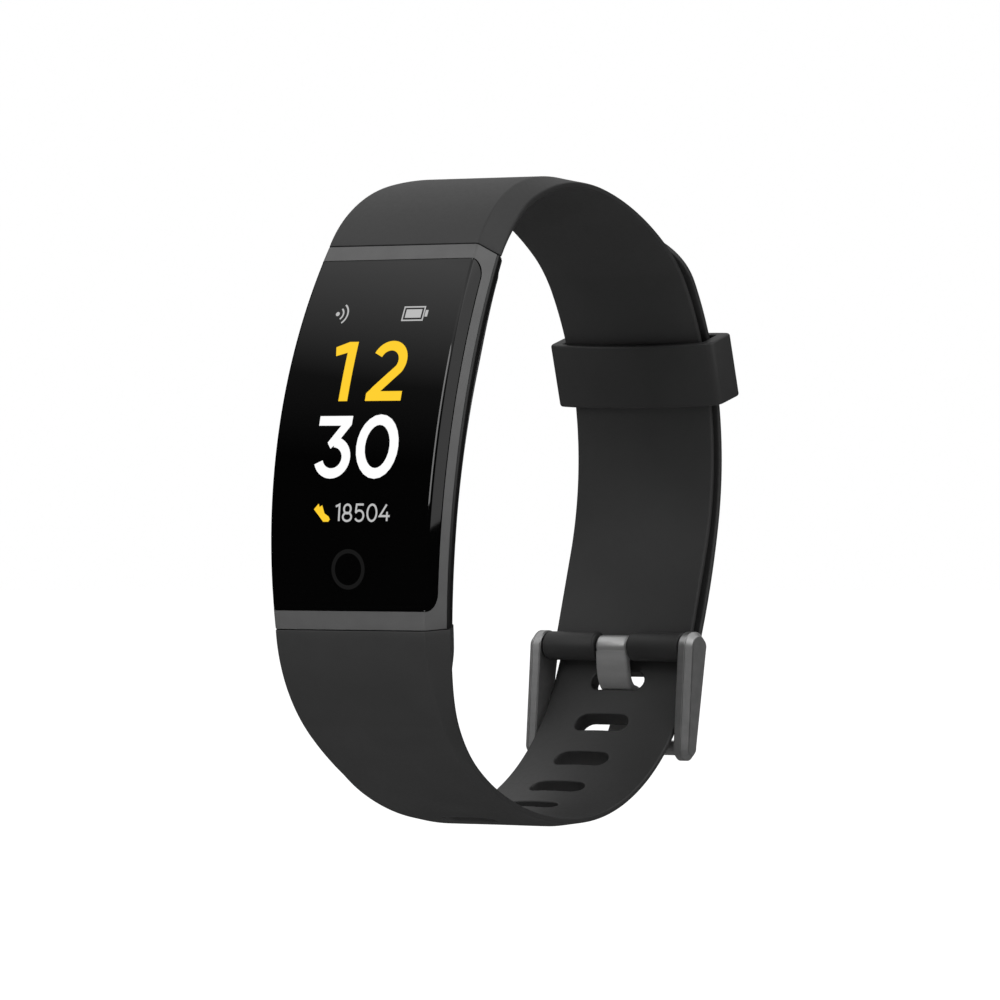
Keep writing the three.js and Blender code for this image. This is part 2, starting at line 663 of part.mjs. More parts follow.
// ---------------------------------------------------------------- the buckle
/** An arm of the buckle seen from the side: round at the pin, slimmer at the foot. */
function armShape() {
  const { foot, head, lean, toe } = BUCKLE;
  const shape = new THREE.Shape();
  shape.moveTo(PIN.y + lean - head, PIN.z);
  shape.absarc(PIN.y + lean, PIN.z, head, PI, 0, true);
  shape.absarc(foot.y, foot.z, toe, 0.1, -PI, true);
  return shape;
}

function buckleFrame() {
  const { inside, outside, foot, bar, chamfer } = BUCKLE;
  const arm = new THREE.ExtrudeGeometry(armShape(), {
    depth: outside - inside - 2 * chamfer,
    bevelThickness: chamfer,
    bevelSize: chamfer,
    bevelOffset: -chamfer,
    bevelSegments: 1,
    curveSegments: 8,
  });
  // The shape lies in XY: turn its X to the part's Y, its Y to Z and its depth to X.
  arm.applyMatrix4(new THREE.Matrix4().set(0, 0, 1, 0, 1, 0, 0, 0, 0, 1, 0, 0, 0, 0, 0, 1));
  const crossbar = rod(bar, 2 * inside + 1, 16).translate(0, foot.y, foot.z);
  const left = moved(arm, -outside + chamfer, 0, 0);
  const right = moved(arm, inside + chamfer, 0, 0);
  const pinHoles = rod(SPRING_BAR.tip + 0.15, 2 * (outside - 0.4), 16).translate(0, PIN.y, PIN.z);
  const gapBetween = box(2 * inside - 0.01, 8, 8).translate(0, PIN.y, PIN.z);
  const holes = geometryOf(solid(pinHoles).subtract(solid(gapBetween)));
  return cut(join(left, right, crossbar), holes);
}

/** The tongue: an eye round the pin and a leaf that goes out through a slot to the crossbar. */
function buckleTongue() {
  const { half, thick, ring } = TONGUE;
  const { foot, bar } = BUCKLE;
  const route = new THREE.CatmullRomCurve3(
    [
      [PIN.y - ring + thick / 2, PIN.z - 0.6],
      [PIN.y - 0.5, PIN.z - 2],
      [PIN.y - 0.2, PIN.z - 3.2],
      [PIN.y + 0.4, PIN.z - 3.92],
      [PIN.y + 1.3, PIN.z - 4.22],
      [PIN.y + 2.05, PIN.z - 4.8],
      [PIN.y + 2.25, PIN.z - 6],
      [PIN.y + 1.9, PIN.z - 7.3],
      [PIN.y + 1.1, PIN.z - 8.7],
      [foot.y + bar + GAP + thick / 2, foot.z - 0.4],
    ].map(([y, z]) => new THREE.Vector3(0, y, z)),
    false,
    "centripetal",
  );
  const steps = 16;
  const rings = [];
  for (let i = 0; i <= steps; i++) {
    const p = route.getPoint(i / steps);
    const t = route.getTangent(i / steps);
    const width = half * (i > steps - 3 ? 0.94 : 1);
    const section = [
      [width, thick / 2],
      [width, -thick / 2],
      [-width, -thick / 2],
      [-width, thick / 2],
    ];
    rings.push({ section, place: (x, d) => [x, p.y + d * t.z, p.z - d * t.y] });
  }
  const eye = rod(ring, 2 * half, 24).translate(0, PIN.y, PIN.z);
  const bore = rod(PIN.bar + 0.12, 10, 20).translate(0, PIN.y, PIN.z);
  return cut(join(loft(rings), eye), bore);
}

/** The spring bar: a tube in the strap's end, and a coil that pushes a tip into each arm. */
function addSpringBar() {
  const { tube, bore, tipFrom, tipTo, tip } = SPRING_BAR;
  const onPin = [PIN.y, PIN.z];
  const barrel = cut(rod(PIN.bar, 2 * tube, 16), rod(bore, 20, 12));
  put(root, "spring_bar_tube", barrel, "steel", 0, ...onPin);
  for (const [name, side] of [["left", -1], ["right", 1]]) {
    const middle = (side * (tipFrom + tipTo)) / 2;
    put(root, `spring_bar_tip_${name}`, rod(tip, tipTo - tipFrom, 12), "steel", middle, ...onPin);
    put(root, `spring_bar_coil_${name}`, coilHalf(side), "steel", 0, ...onPin);
  }
}

/** Half of the coil spring, from just off the middle to a tip. */
function coilHalf(side) {
  const { coil, wire, turns, tipFrom } = SPRING_BAR;
  class Helix extends THREE.Curve {
    getPoint(t, target = new THREE.Vector3()) {
      const a = 2 * PI * turns * t;
      return target.set(side * mix(2 * wire, tipFrom - 2 * wire, t), coil * cos(a), coil * sin(a));
    }
  }
  const section = new THREE.Shape();
  section.absarc(0, 0, wire, 0, 2 * PI);
  const extrudePath = new Helix();
  return new THREE.ExtrudeGeometry(section, { steps: 10 * turns, curveSegments: 3, extrudePath });
}

function addBuckle() {
  put(root, "buckle_frame", buckleFrame(), "gunmetal");
  put(root, "buckle_tongue", buckleTongue(), "gunmetal");
  addSpringBar();
  put(root, "keeper", keeper(), "silicone");
}

addModule();
addPlug();
addStraps();
addBuckle();

export default root;
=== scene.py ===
"""Fitness tracker band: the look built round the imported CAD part.

Sizes are in millimetres until a mesh is made. X runs across the band, -Y is the display side and
+Z is the display's top. The band's side view is the same two chains of tangent arcs as the part's.
"""

import json
import math

import bmesh
import bpy
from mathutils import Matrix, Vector

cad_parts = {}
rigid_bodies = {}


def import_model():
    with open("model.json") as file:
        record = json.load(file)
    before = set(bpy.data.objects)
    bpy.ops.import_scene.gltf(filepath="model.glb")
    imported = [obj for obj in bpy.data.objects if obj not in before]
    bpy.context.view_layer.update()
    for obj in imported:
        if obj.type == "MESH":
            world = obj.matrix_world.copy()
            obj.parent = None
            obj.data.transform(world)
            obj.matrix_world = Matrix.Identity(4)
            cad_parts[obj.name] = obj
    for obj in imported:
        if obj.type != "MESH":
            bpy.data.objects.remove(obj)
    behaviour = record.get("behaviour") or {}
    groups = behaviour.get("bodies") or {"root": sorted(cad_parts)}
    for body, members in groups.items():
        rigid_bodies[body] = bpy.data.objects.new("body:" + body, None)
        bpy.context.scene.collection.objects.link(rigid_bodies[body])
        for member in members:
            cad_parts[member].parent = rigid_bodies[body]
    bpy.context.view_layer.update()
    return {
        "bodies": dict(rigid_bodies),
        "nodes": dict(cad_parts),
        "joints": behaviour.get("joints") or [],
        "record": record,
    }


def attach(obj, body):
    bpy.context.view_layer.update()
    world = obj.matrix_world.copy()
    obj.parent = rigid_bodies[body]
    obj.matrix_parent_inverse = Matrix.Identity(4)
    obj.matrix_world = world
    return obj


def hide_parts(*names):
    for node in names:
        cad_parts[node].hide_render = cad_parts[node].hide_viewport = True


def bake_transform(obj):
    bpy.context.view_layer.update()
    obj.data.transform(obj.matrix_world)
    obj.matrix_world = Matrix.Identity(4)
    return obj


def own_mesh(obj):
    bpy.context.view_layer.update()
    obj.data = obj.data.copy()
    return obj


MM = 0.001
PI = math.pi
rad = math.radians

# ---------------------------------------------------------------- driving dimensions
FACE_RADIUS = 55
FACE_CHORD = 35.65
FACE_LEAN = rad(13.6)
FACE_MID = (-19.645, 5.975)
FACE_HALF_ANGLE = math.asin(FACE_CHORD / 2 / FACE_RADIUS)
FACE_END = FACE_RADIUS * FACE_HALF_ANGLE
FACE_SAG = FACE_RADIUS * (1 - math.cos(FACE_HALF_ANGLE))

FLAT_MIDDLE = 8.73
FLAT_TAPER = 0.6
FLAT_END = FLAT_MIDDLE - FLAT_TAPER
BEVEL_WIDTH = 1.3
BEVEL_DEPTH = 2.3

BACK_CENTRE = (-4.6, 4.1)
BACK_RADIUS = 30.35
TAIL_RADIUS = 31.85
STRAP_HALF = 7.56
STRAP_EDGE = 0.5
UPPER_ARCS = [(13.4, rad(44.5)), (30.3, rad(49.3))]
UPPER_LEAVES = rad(-17.5)
UPPER_LINE = 8.9
LOWER_ARCS = [(15.9, rad(40)), (29.5, rad(49.3)), (21.5, rad(60.4))]
TAIL_END = rad(44.5)
SLOT_WIDE = 5.8
SLOT_LONG = 2.05
SLOT_PITCH = 5.2
SLOT_COUNT = 13
SLOT_TONGUE = 7
TONGUE_SLOT_Z = -17.45

PIN = (20.1, -13.55)
PIN_BORE = 0.72
LUG_RADIUS = 1.36
ARM_INSIDE = 7.72
ARM_OUTSIDE = 9.16
ARM_HEAD = (1.7, 1.45)  # half width and height of an arm's top
ARM_LEAN = 0.28
ARM_TOE = 1.2
ARM_FOOT = (19.1, -22.98)
CROSSBAR_RADIUS = 0.7
TONGUE_HALF = 1.72
TONGUE_THICK = 0.85
TONGUE_RING = 1.05
TONGUE_EASE = 0.28
COIL_RADIUS = 0.28
COIL_WIRE = 0.08
COIL_TURNS = 5
COIL_LONG = 4.24
KEEPER_ANGLE = rad(16.1)
KEEPER_LONG = 6.1
KEEPER_HALF = 9.15
KEEPER_INSIDE = 7.85

GLASS_FROM = -16.4
GLASS_TO = 16.55
GLASS_LAP = 0.6
GLASS_CORNER = 1.6
SEAM = 0.07  # the fine gap round the glass

PLUG_BASE = (-19.86, -10.98)
PLUG_DIR = (0.19, -0.982)
PLUG_EASE = 0.4


# ---------------------------------------------------------------- small helpers
def mix(a, b, t):
    return a + (b - a) * t


def smooth(x, start, end):
    t = min(1, max(0, (x - start) / (end - start)))
    return t * t * (3 - 2 * t)


def rounded(corners, steps=4):
    """A closed outline of (x, y, ease), where an ease above 0 turns the corner into a curve."""
    points = []
    for i, (x, y, ease) in enumerate(corners):
        corner = Vector((x, y))
        if not ease:
            points.append(tuple(corner))
            continue
        before = Vector(corners[i - 1][:2]) - corner
        after = Vector(corners[(i + 1) % len(corners)][:2]) - corner
        start = corner + before.normalized() * min(ease, 0.48 * before.length)
        end = corner + after.normalized() * min(ease, 0.48 * after.length)
        for k in range(steps + 1):
            t = k / steps
            points.append(tuple(start.lerp(corner, t).lerp(corner.lerp(end, t), t)))
    return points


def inset(outline, amount):
    """The outline with every point moved inwards by the same amount."""
    if not amount:
        return list(outline)
    count = len(outline)
    area = sum(
        outline[i - 1][0] * outline[i][1] - outline[i][0] * outline[i - 1][1] for i in range(count)
    )
    turn = 1 if area > 0 else -1
    moved = []
    for i in range(count):
        before, here, after = outline[i - 1], outline[i], outline[(i + 1) % count]
        a = Vector((here[0] - before[0], here[1] - before[1]))
        b = Vector((after[0] - here[0], after[1] - here[1]))
        a = a.normalized() if a.length > 1e-9 else b.normalized()
        b = b.normalized() if b.length > 1e-9 else a
        normal = Vector((-(a.y + b.y), a.x + b.x)) * turn
        normal.normalize()
        stretch = 1 / max(0.5, normal.dot(Vector((-a.y, a.x)) * turn))
        moved.append((here[0] + normal.x * amount * stretch, here[1] + normal.y * amount * stretch))
    return moved


EASE_STEPS = 4  # rings in the rounding of a loft's end, after the first


def soft_stations(start, end, ease, middle):
    """Distances from start to end, with the inset that rounds both ends: [(distance, inset)]."""
    steps = EASE_STEPS
    stations = []
    for k in range(steps + 1):
        a = (1 - k / steps) * PI / 2
        stations.append((start + ease * (1 - math.cos(PI / 2 - a)), ease * (1 - math.cos(a))))
    first, last = start + ease, end - ease
    for k in range(1, middle):
        stations.append((mix(first, last, k / middle), 0))
    for k in range(steps + 1):
        a = k / steps * PI / 2
        stations.append((end - ease * (1 - math.sin(a)), ease * (1 - math.cos(a))))
    return stations


class Solid:
    """Vertices in millimetres and faces, gathered before they become one mesh object."""

    def __init__(self):
        self.verts = []
        self.faces = []

    def loop_faces(self, a, b, count, skip=()):
        for i in range(count):
            if i in skip:
                continue
            j = (i + 1) % count
            self.faces.append((a + i, a + j, b + j, b + i))

    def loft(self, rings, caps=True, ring_closes=False, skip=None):
        first = len(self.verts)
        count = len(rings[0])
        for ring in rings:
            self.verts.extend(ring)
        total = len(rings)
        for r in range(total if ring_closes else total - 1):
            a = first + r * count
            b = first + ((r + 1) % total) * count
            self.loop_faces(a, b, count, skip(r) if skip else ())
        if caps:
            self.faces.append(tuple(range(first, first + count)))
            last = first + (total - 1) * count
            self.faces.append(tuple(range(last, last + count)))
        return self

    def add(self, other):
        first = len(self.verts)
        self.verts += other.verts
        self.faces += [tuple(first + i for i in face) for face in other.faces]
        return self

    def object(self, name, sharp=38):
        mesh = bpy.data.meshes.new(name)
        mesh.from_pydata([Vector(v) * MM for v in self.verts], [], self.faces)
        obj = bpy.data.objects.new(name, mesh)
        bpy.context.scene.collection.objects.link(obj)
        tidy(obj, sharp)
        return obj


def tidy(obj, sharp=38):
    """Merges the mesh's shared points, turns its faces out and marks its sharp edges."""
    shape = bmesh.new()
    shape.from_mesh(obj.data)
    bmesh.ops.remove_doubles(shape, verts=shape.verts, dist=2e-6)
    bmesh.ops.dissolve_degenerate(shape, edges=shape.edges, dist=1e-7)
    bmesh.ops.recalc_face_normals(shape, faces=shape.faces)
    for face in shape.faces:
        face.smooth = True
    for edge in shape.edges:
        edge.smooth = not (len(edge.link_faces) == 2 and edge.calc_face_angle(0) > rad(sharp))
    shape.to_mesh(obj.data)
    shape.free()


def boolean(obj, tool, operation="DIFFERENCE"):
    """Cuts obj by tool, or joins them, and removes the tool."""
    modifier = obj.modifiers.new("boolean", "BOOLEAN")
    modifier.operation = operation
    modifier.solver = "MANIFOLD"
    modifier.object = tool
    bpy.context.view_layer.update()
    result = obj.evaluated_get(bpy.context.evaluated_depsgraph_get())
    mesh = bpy.data.meshes.new_from_object(result)
    obj.modifiers.clear()
    obj.data = mesh
    bpy.data.objects.remove(tool)
    tidy(obj)
    return obj


# ---------------------------------------------------------------- the side view
class Profile:
    """A chain of tangent arcs. Angles are those of the outward normal, from +Y towards +Z."""

    def __init__(self, start, angle, turn):
        self.end, self.angle, self.turn = start, angle, turn
        self.pieces = []
        self.length = 0

    def add(self, length, place, end_angle):
        self.pieces.append((self.length, place))
        self.length += length
        self.end = place(length)[:2]
        self.angle = end_angle
        return self

    def arc(self, radius, sweep):
        (y, z), angle, turn = self.end, self.angle, self.turn
        cy, cz = y - radius * math.cos(angle), z - radius * math.sin(angle)

        def place(s):
            a = angle + turn * s / radius
            return cy + radius * math.cos(a), cz + radius * math.sin(a), a

        return self.add(radius * sweep, place, angle + turn * sweep)

    def arc_onto(self, centre, radius, until):
        """The one arc that runs from here into a circle, then the circle as far as an angle."""
        dy, dz = self.end[0] - centre[0], self.end[1] - centre[1]
        out = dy * math.cos(self.angle) + dz * math.sin(self.angle)
        joining = (dy * dy + dz * dz - radius * radius) / (2 * (out - radius))
        side = math.copysign(1, radius - joining)
        cy, cz = dy - joining * math.cos(self.angle), dz - joining * math.sin(self.angle)
        meets = math.atan2(side * cz, side * cy)
        self.arc(joining, ((meets - self.angle) * self.turn) % (2 * PI))
        return self.arc(radius, ((until - self.angle) * self.turn) % (2 * PI))

    def line(self, length):
        (y, z), angle, turn = self.end, self.angle, self.turn

        def place(s):
            return y - turn * s * math.sin(angle), z + turn * s * math.cos(angle), angle

        return self.add(length, place, angle)

    def at(self, s):
        chosen = [piece for piece in self.pieces if piece[0] <= s + 1e-9][-1:] or self.pieces[:1]
        start, place = chosen[0]
        return place(s - start)

    def point(self, s, x, depth):
        y, z, a = self.at(s)
        return x, y - depth * math.cos(a), z - depth * math.sin(a)


def face_end(side):
    return (
        FACE_MID[0] + side * FACE_CHORD / 2 * math.sin(FACE_LEAN),
        FACE_MID[1] + side * FACE_CHORD / 2 * math.cos(FACE_LEAN),
    )


UPPER_PATH = Profile(face_end(1), PI - FACE_LEAN - FACE_HALF_ANGLE, -1)
for _radius, _sweep in UPPER_ARCS:
    UPPER_PATH.arc(_radius, _sweep)
UPPER_PATH.arc_onto(BACK_CENTRE, BACK_RADIUS, UPPER_LEAVES).line(UPPER_LINE)
LOWER_PATH = Profile(face_end(-1), PI - FACE_LEAN + FACE_HALF_ANGLE, 1)
for _radius, _sweep in LOWER_ARCS:
    LOWER_PATH.arc(_radius, _sweep)
LOWER_PATH.arc_onto(BACK_CENTRE, TAIL_RADIUS, TAIL_END)


# ---------------------------------------------------------------- the module's own frame
def face_point(u, x, depth):
    """A point at arc distance u up the module's face, x across it and depth below it."""
    a = u / FACE_RADIUS
    y = FACE_RADIUS - (FACE_RADIUS - depth) * math.cos(a)
    z = (FACE_RADIUS - depth) * math.sin(a)
    return module_point(x, y, z)


def module_point(x, y, z):
    origin_y = FACE_MID[0] - FACE_SAG * math.cos(FACE_LEAN)
    origin_z = FACE_MID[1] + FACE_SAG * math.sin(FACE_LEAN)
    c, s = math.cos(FACE_LEAN), math.sin(FACE_LEAN)
    return x, origin_y + y * c + z * s, origin_z - y * s + z * c


def flat_at(u):
    return FLAT_MIDDLE - FLAT_TAPER * (u / FACE_END) ** 2


def mirrored(right):
    return right + [(-x, d, e) for x, d, e in reversed(right)]


def face_loft(section, stations):
    """A solid that follows the face. section(u) gives corners, stations are (u, inset)."""
    rings = []
    for u, amount in stations:
        outline = inset(rounded(section(u)), amount)
        rings.append([face_point(u, x, d) for x, d in outline])
    return Solid().loft(rings)


# ---------------------------------------------------------------- materials
def colour(value):
    """A grey or an (r, g, b) as a linear colour with alpha."""
    r, g, b = (value, value, value) if isinstance(value, (int, float)) else value
    return r, g, b, 1


SHADER_INPUTS = {
    "metallic": "Metallic",
    "specular": "Specular IOR Level",
    "emission": "Emission Strength",
}


class Look:
    """A material and the handful of nodes that the looks share."""

    def __init__(self, name, base, roughness, **inputs):
        self.material = bpy.data.materials.new(name)
        self.material.use_nodes = True
        self.nodes = self.material.node_tree.nodes
        self.links = self.material.node_tree.links
        self.shader = self.nodes["Principled BSDF"]
        self.shader.inputs["Base Color"].default_value = colour(base)
        self.shader.inputs["Roughness"].default_value = roughness
        for key, value in inputs.items():
            self.shader.inputs[SHADER_INPUTS[key]].default_value = value
        self.material.diffuse_color = colour(base)

    def noise(self, scale, detail=3, stretch=None):
        """Noise in the part's own space, scale in features per millimetre."""
        where = self.nodes.new("ShaderNodeTexCoord").outputs["Object"]
        if stretch:
            mapping = self.nodes.new("ShaderNodeMapping")
            mapping.inputs["Scale"].default_value = stretch
            self.links.new(where, mapping.inputs["Vector"])
            where = mapping.outputs["Vector"]
        noise = self.nodes.new("ShaderNodeTexNoise")
        noise.inputs["Scale"].default_value = scale / MM
        noise.inputs["Detail"].default_value = detail
        self.links.new(where, noise.inputs["Vector"])
        return noise.outputs["Fac"]

    def ranged(self, value, low, high):
        spread = self.nodes.new("ShaderNodeMapRange")
        spread.inputs["To Min"].default_value = low
        spread.inputs["To Max"].default_value = high
        self.links.new(value, spread.inputs["Value"])
        return spread.outputs["Result"]

    def vary_roughness(self, scale, low, high, detail=3):
        rough = self.ranged(self.noise(scale, detail), low, high)
        self.links.new(rough, self.shader.inputs["Roughness"])
        return self

    def vary_colour(self, scale, first, second, detail=3, stretch=None):
        ramp = self.nodes.new("ShaderNodeValToRGB")
        ramp.color_ramp.elements[0].position = 0.35
        ramp.color_ramp.elements[0].color = colour(first)
        ramp.color_ramp.elements[1].position = 0.65
        ramp.color_ramp.elements[1].color = colour(second)
        self.links.new(self.noise(scale, detail, stretch), ramp.inputs["Fac"])
        self.links.new(ramp.outputs["Color"], self.shader.inputs["Base Color"])
        return self

    def bumpy(self, scale, height, strength=0.3, detail=3, stretch=None):
        """height is in millimetres."""
        bump = self.nodes.new("ShaderNodeBump")
        bump.inputs["Strength"].default_value = strength
        bump.inputs["Distance"].default_value = height * MM
        self.links.new(self.noise(scale, detail, stretch), bump.inputs["Height"])
        self.links.new(bump.outputs["Normal"], self.shader.inputs["Normal"])
        return self


def make_looks():
    looks = {
        "silicone": Look("silicone_satin", 0.03, 0.5)
        .vary_colour(0.25, 0.0255, 0.0275)
        .vary_roughness(2.5, 0.46, 0.56)
        .bumpy(9, 0.01, 0.25),
        "keeper_silicone": Look("keeper_silicone_satin", 0.028, 0.5)
        .vary_colour(0.3, 0.0245, 0.0265)
        .vary_roughness(2.5, 0.46, 0.56)
        .bumpy(9, 0.01, 0.25),
        "glass": Look("cover_glass_black", 0.0012, 0.05, specular=0.5)
        .vary_roughness(0.4, 0.035, 0.06),
        "bezel": Look("bezel_grey", 0.12, 0.42, metallic=0.35)
        .vary_colour(0.5, 0.115, 0.125)
        .bumpy(14, 0.004, 0.2),
        "housing": Look("housing_black", 0.008, 0.3)
        .vary_roughness(3, 0.26, 0.36)
        .bumpy(10, 0.006, 0.25),
        "window": Look("window_smoke", 0.004, 0.12).vary_roughness(0.8, 0.1, 0.16),
        "gunmetal": Look("buckle_gunmetal", 0.44, 0.4, metallic=0.85)
        .vary_colour(1.2, 0.41, 0.46, stretch=(0.2, 1, 1))
        .vary_roughness(4, 0.36, 0.44),
        # The tongue's metal is a lighter copy of the buckle's gunmetal: painted light, standing in
        # for the light that falls on the tongue.
        "tongue_metal_painted_light": Look("tongue_gunmetal_painted_light", 0.57, 0.4, metallic=0.7)
        .vary_colour(1.2, 0.54, 0.6, stretch=(0.2, 1, 1))
        .vary_roughness(4, 0.36, 0.44),
        "steel": Look("steel_turned", 0.45, 0.3, metallic=1.0)
        .vary_roughness(5, 0.25, 0.36)
        .bumpy(6, 0.004, 0.3, stretch=(8, 1, 1)),
        "seal": Look("seal_rubber", 0.02, 0.8).bumpy(5, 0.01, 0.3),
        "film": Look("touch_film_clear", 0.02, 0.1).vary_roughness(1, 0.08, 0.14),
        "display": Look("display_panel_black", 0.004, 0.15).vary_roughness(1, 0.12, 0.2),
        "board": Look("board_green", (0.01, 0.08, 0.035), 0.5)
        .vary_colour(1.5, (0.008, 0.06, 0.027), (0.014, 0.1, 0.045))
        .bumpy(3, 0.01, 0.3),
        "chip": Look("chip_moulding", 0.016, 0.6).bumpy(8, 0.008, 0.4),
        "foam": Look("foam_grey", 0.03, 0.95).bumpy(4, 0.05, 0.8),
        "battery": Look("battery_foil", 0.5, 0.35, metallic=0.8).bumpy(1.2, 0.05, 0.4),
        "flex": Look("flex_amber", (0.35, 0.15, 0.03), 0.35).vary_roughness(2, 0.3, 0.42),
        "led": Look("led_green", (0.08, 0.5, 0.18), 0.2).vary_roughness(2, 0.16, 0.26),
        "gold": Look("contact_gold", (0.8, 0.5, 0.16), 0.25, metallic=1.0)
        .vary_roughness(4, 0.2, 0.3),
    }
    return looks


def glow(name, value):
    """A lit part of the display: it gives its colour and reflects nothing."""
    look = Look(name, 0, 0.4, specular=0.0)
    look.shader.inputs["Emission Color"].default_value = colour(value)
    shine = look.ranged(look.noise(0.8), 0.985, 1.015)
    look.links.new(shine, look.shader.inputs["Emission Strength"])
    return look


def dress(obj, look):
    obj.data.materials.clear()
    obj.data.materials.append(look.material)
    return obj


# ---------------------------------------------------------------- the module
def glass_lap(u, grow=0.0):
    """How far the lens folds over the bevel, with its corners rounded."""
    to_end = min(u - GLASS_FROM, GLASS_TO - u) + grow
    share = min(1, max(0, to_end) / GLASS_CORNER)
    return GLASS_LAP * math.sqrt(max(0, 1 - (1 - share) ** 2)) + grow


def glass_stations(grow):
    """Rings bunched towards the glass's rounded ends, as (u, inset)."""
    start, end = GLASS_FROM - grow, GLASS_TO + grow
    near = [GLASS_CORNER * (1 - math.cos(PI / 2 * k / 8)) for k in range(9)]
    inner = [mix(start + GLASS_CORNER, end - GLASS_CORNER, k / 40) for k in range(1, 40)]
    stations = [start + n for n in near] + inner + [end - n for n in reversed(near)]
    return [(u, 0) for u in stations]


def cover_glass():
    def section(u):
        lap = max(0.03, glass_lap(u))
        fall = lap * BEVEL_DEPTH / BEVEL_WIDTH
        half = flat_at(u)
        return mirrored([(half, 0, 0.22), (half + lap, fall, 0.08), (half + lap, 1.25, 0)])

    return face_loft(section, glass_stations(0)).object("cover_glass_lens", sharp=60)


def glass_pocket():
    def section(u):
        half = flat_at(u) + max(0.03, glass_lap(u, SEAM))
        return mirrored([(half, -2, 0), (half, 1.3, 0)])

    return face_loft(section, glass_stations(SEAM)).object("glass_pocket")


LIP_DEPTH = BEVEL_DEPTH - 0.25  # depth of the module's widest line
FRAME_SHARE = 0.87  # of the bevel; the rest is the housing's lip


def bezel_frame():
    def section(u):
        half = flat_at(u)
        wide = half + BEVEL_WIDTH * FRAME_SHARE
        return mirrored(
            [(half, 0, 0.22), (wide, LIP_DEPTH * FRAME_SHARE, 0.04), (wide, BEVEL_DEPTH, 0.06)]
        )

    stations = soft_stations(-FACE_END, FACE_END, 0.1, 60)
    frame = face_loft(section, stations).object("bezel_frame_cast")
    return boolean(frame, glass_pocket())


def housing_section(u):
    """The housing across the module: its black lip beside the frame, then sides that draw in
    to the back."""
    deep = mix(10.2, 6.4, smooth(abs(u), 9, FACE_END))
    half = flat_at(u) + BEVEL_WIDTH - 0.15
    span = deep - 2.45
    lip = flat_at(u) + BEVEL_WIDTH * FRAME_SHARE + 0.03
    return mirrored(
        [
            (lip, BEVEL_DEPTH + 0.1, 0),
            (lip, LIP_DEPTH * FRAME_SHARE + 0.03, 0.02),
            (half + 0.15, LIP_DEPTH, 0.25),
            (half, 2.75, 0.3),
            (half - 0.29 * span, 2.45 + 0.42 * span, 3),
            (half - 0.53 * span, 2.45 + 0.82 * span, 1.2),
            (half - 0.72 * span, deep, 1.0),
        ]
    )


def housing_shell():
    stations = soft_stations(-FACE_END, FACE_END, 0.08, 50)
    shell = face_loft(housing_section, stations).object("housing_shell", sharp=50)
    window = slab([(x, z) for x, z in rounded_box(7.95, 11.35, 2.3)], 9.4, 13, 0)
    return boolean(shell, window.object("window_room"))


def rounded_box(width, height, radius, steps=8):
    points = []
    for cx, cy, start in ((1, 1, 0), (-1, 1, 90), (-1, -1, 180), (1, -1, 270)):
        for k in range(steps + 1):
            a = rad(start + 90 * k / steps)
            x = cx * (width / 2 - radius) + radius * math.cos(a)
            y = cy * (height / 2 - radius) + radius * math.sin(a)
            points.append((x, y))
    return points


def slab(outline, low, high, ease):
    """An outline in the module's XZ plane between two depths, the deeper face eased."""
    levels = [(low, 0)]
    steps = 5 if ease else 0
    for k in range(steps + 1):
        a = PI / 2 * k / steps if steps else 0
        levels.append((high - ease * (1 - math.sin(a)), ease * (1 - math.cos(a))))
    rings = [[module_point(x, depth, z) for x, z in inset(outline, e)] for depth, e in levels]
    return Solid().loft(rings)


def sensor_window():
    return slab(rounded_box(7.6, 11, 2.1), 9.95, 11, 0.35).object("sensor_window_lens")


# ---------------------------------------------------------------- the display's picture
PROUD = 0.02  # the picture stands this far off the glass
LONGEST_STEP = 0.5  # of a stroke, so that it follows the curve of the face


def patch(shape, points):
    """A small flat shape on the face, from its (x, u) points."""
    first = len(shape.verts)
    shape.verts += [face_point(u, x, -PROUD) for x, u in points]
    shape.faces.append(tuple(range(first, len(shape.verts))))


def divided(points, closed):
    """The same run of points with none further apart than the longest step."""
    run = []
    ends = points[1:] + points[:1] if closed else points[1:]
    for here, there in zip(points, ends):
        pieces = max(1, math.ceil(math.dist(here, there) / LONGEST_STEP))
        for k in range(pieces):
            run.append((mix(here[0], there[0], k / pieces), mix(here[1], there[1], k / pieces)))
    return run if closed else run + [points[-1]]


def stroke(shape, points, width, closed=False):
    """A ribbon of even width along a run of (x, u) points on the face."""
    points = divided(points, closed)
    count = len(points)
    first = len(shape.verts)
    for i, here in enumerate(points):
        before = points[i - 1] if i or closed else here
        after = points[(i + 1) % count] if i + 1 < count or closed else here
        a = Vector((here[0] - before[0], here[1] - before[1]))
        b = Vector((after[0] - here[0], after[1] - here[1]))
        a = a.normalized() if a.length else b.normalized()
        b = b.normalized() if b.length else a
        normal = Vector((-(a.y + b.y), a.x + b.x)).normalized()
        reach = width / 2 / max(0.4, normal.dot(Vector((-a.y, a.x))))
        for side in (1, -1):
            x, u = here[0] + side * reach * normal.x, here[1] + side * reach * normal.y
            shape.verts.append(face_point(u, x, -PROUD))
    for i in range(count if closed else count - 1):
        a, b = first + 2 * i, first + 2 * ((i + 1) % count)
        shape.faces.append((a, a + 1, b + 1, b))


def arc_points(cx, cy, rx, ry, start, end, steps=24):
    """Points on an ellipse, angles in degrees."""
    angles = [rad(mix(start, end, k / steps)) for k in range(steps + 1)]
    return [(cx + rx * math.cos(a), cy + ry * math.sin(a)) for a in angles]


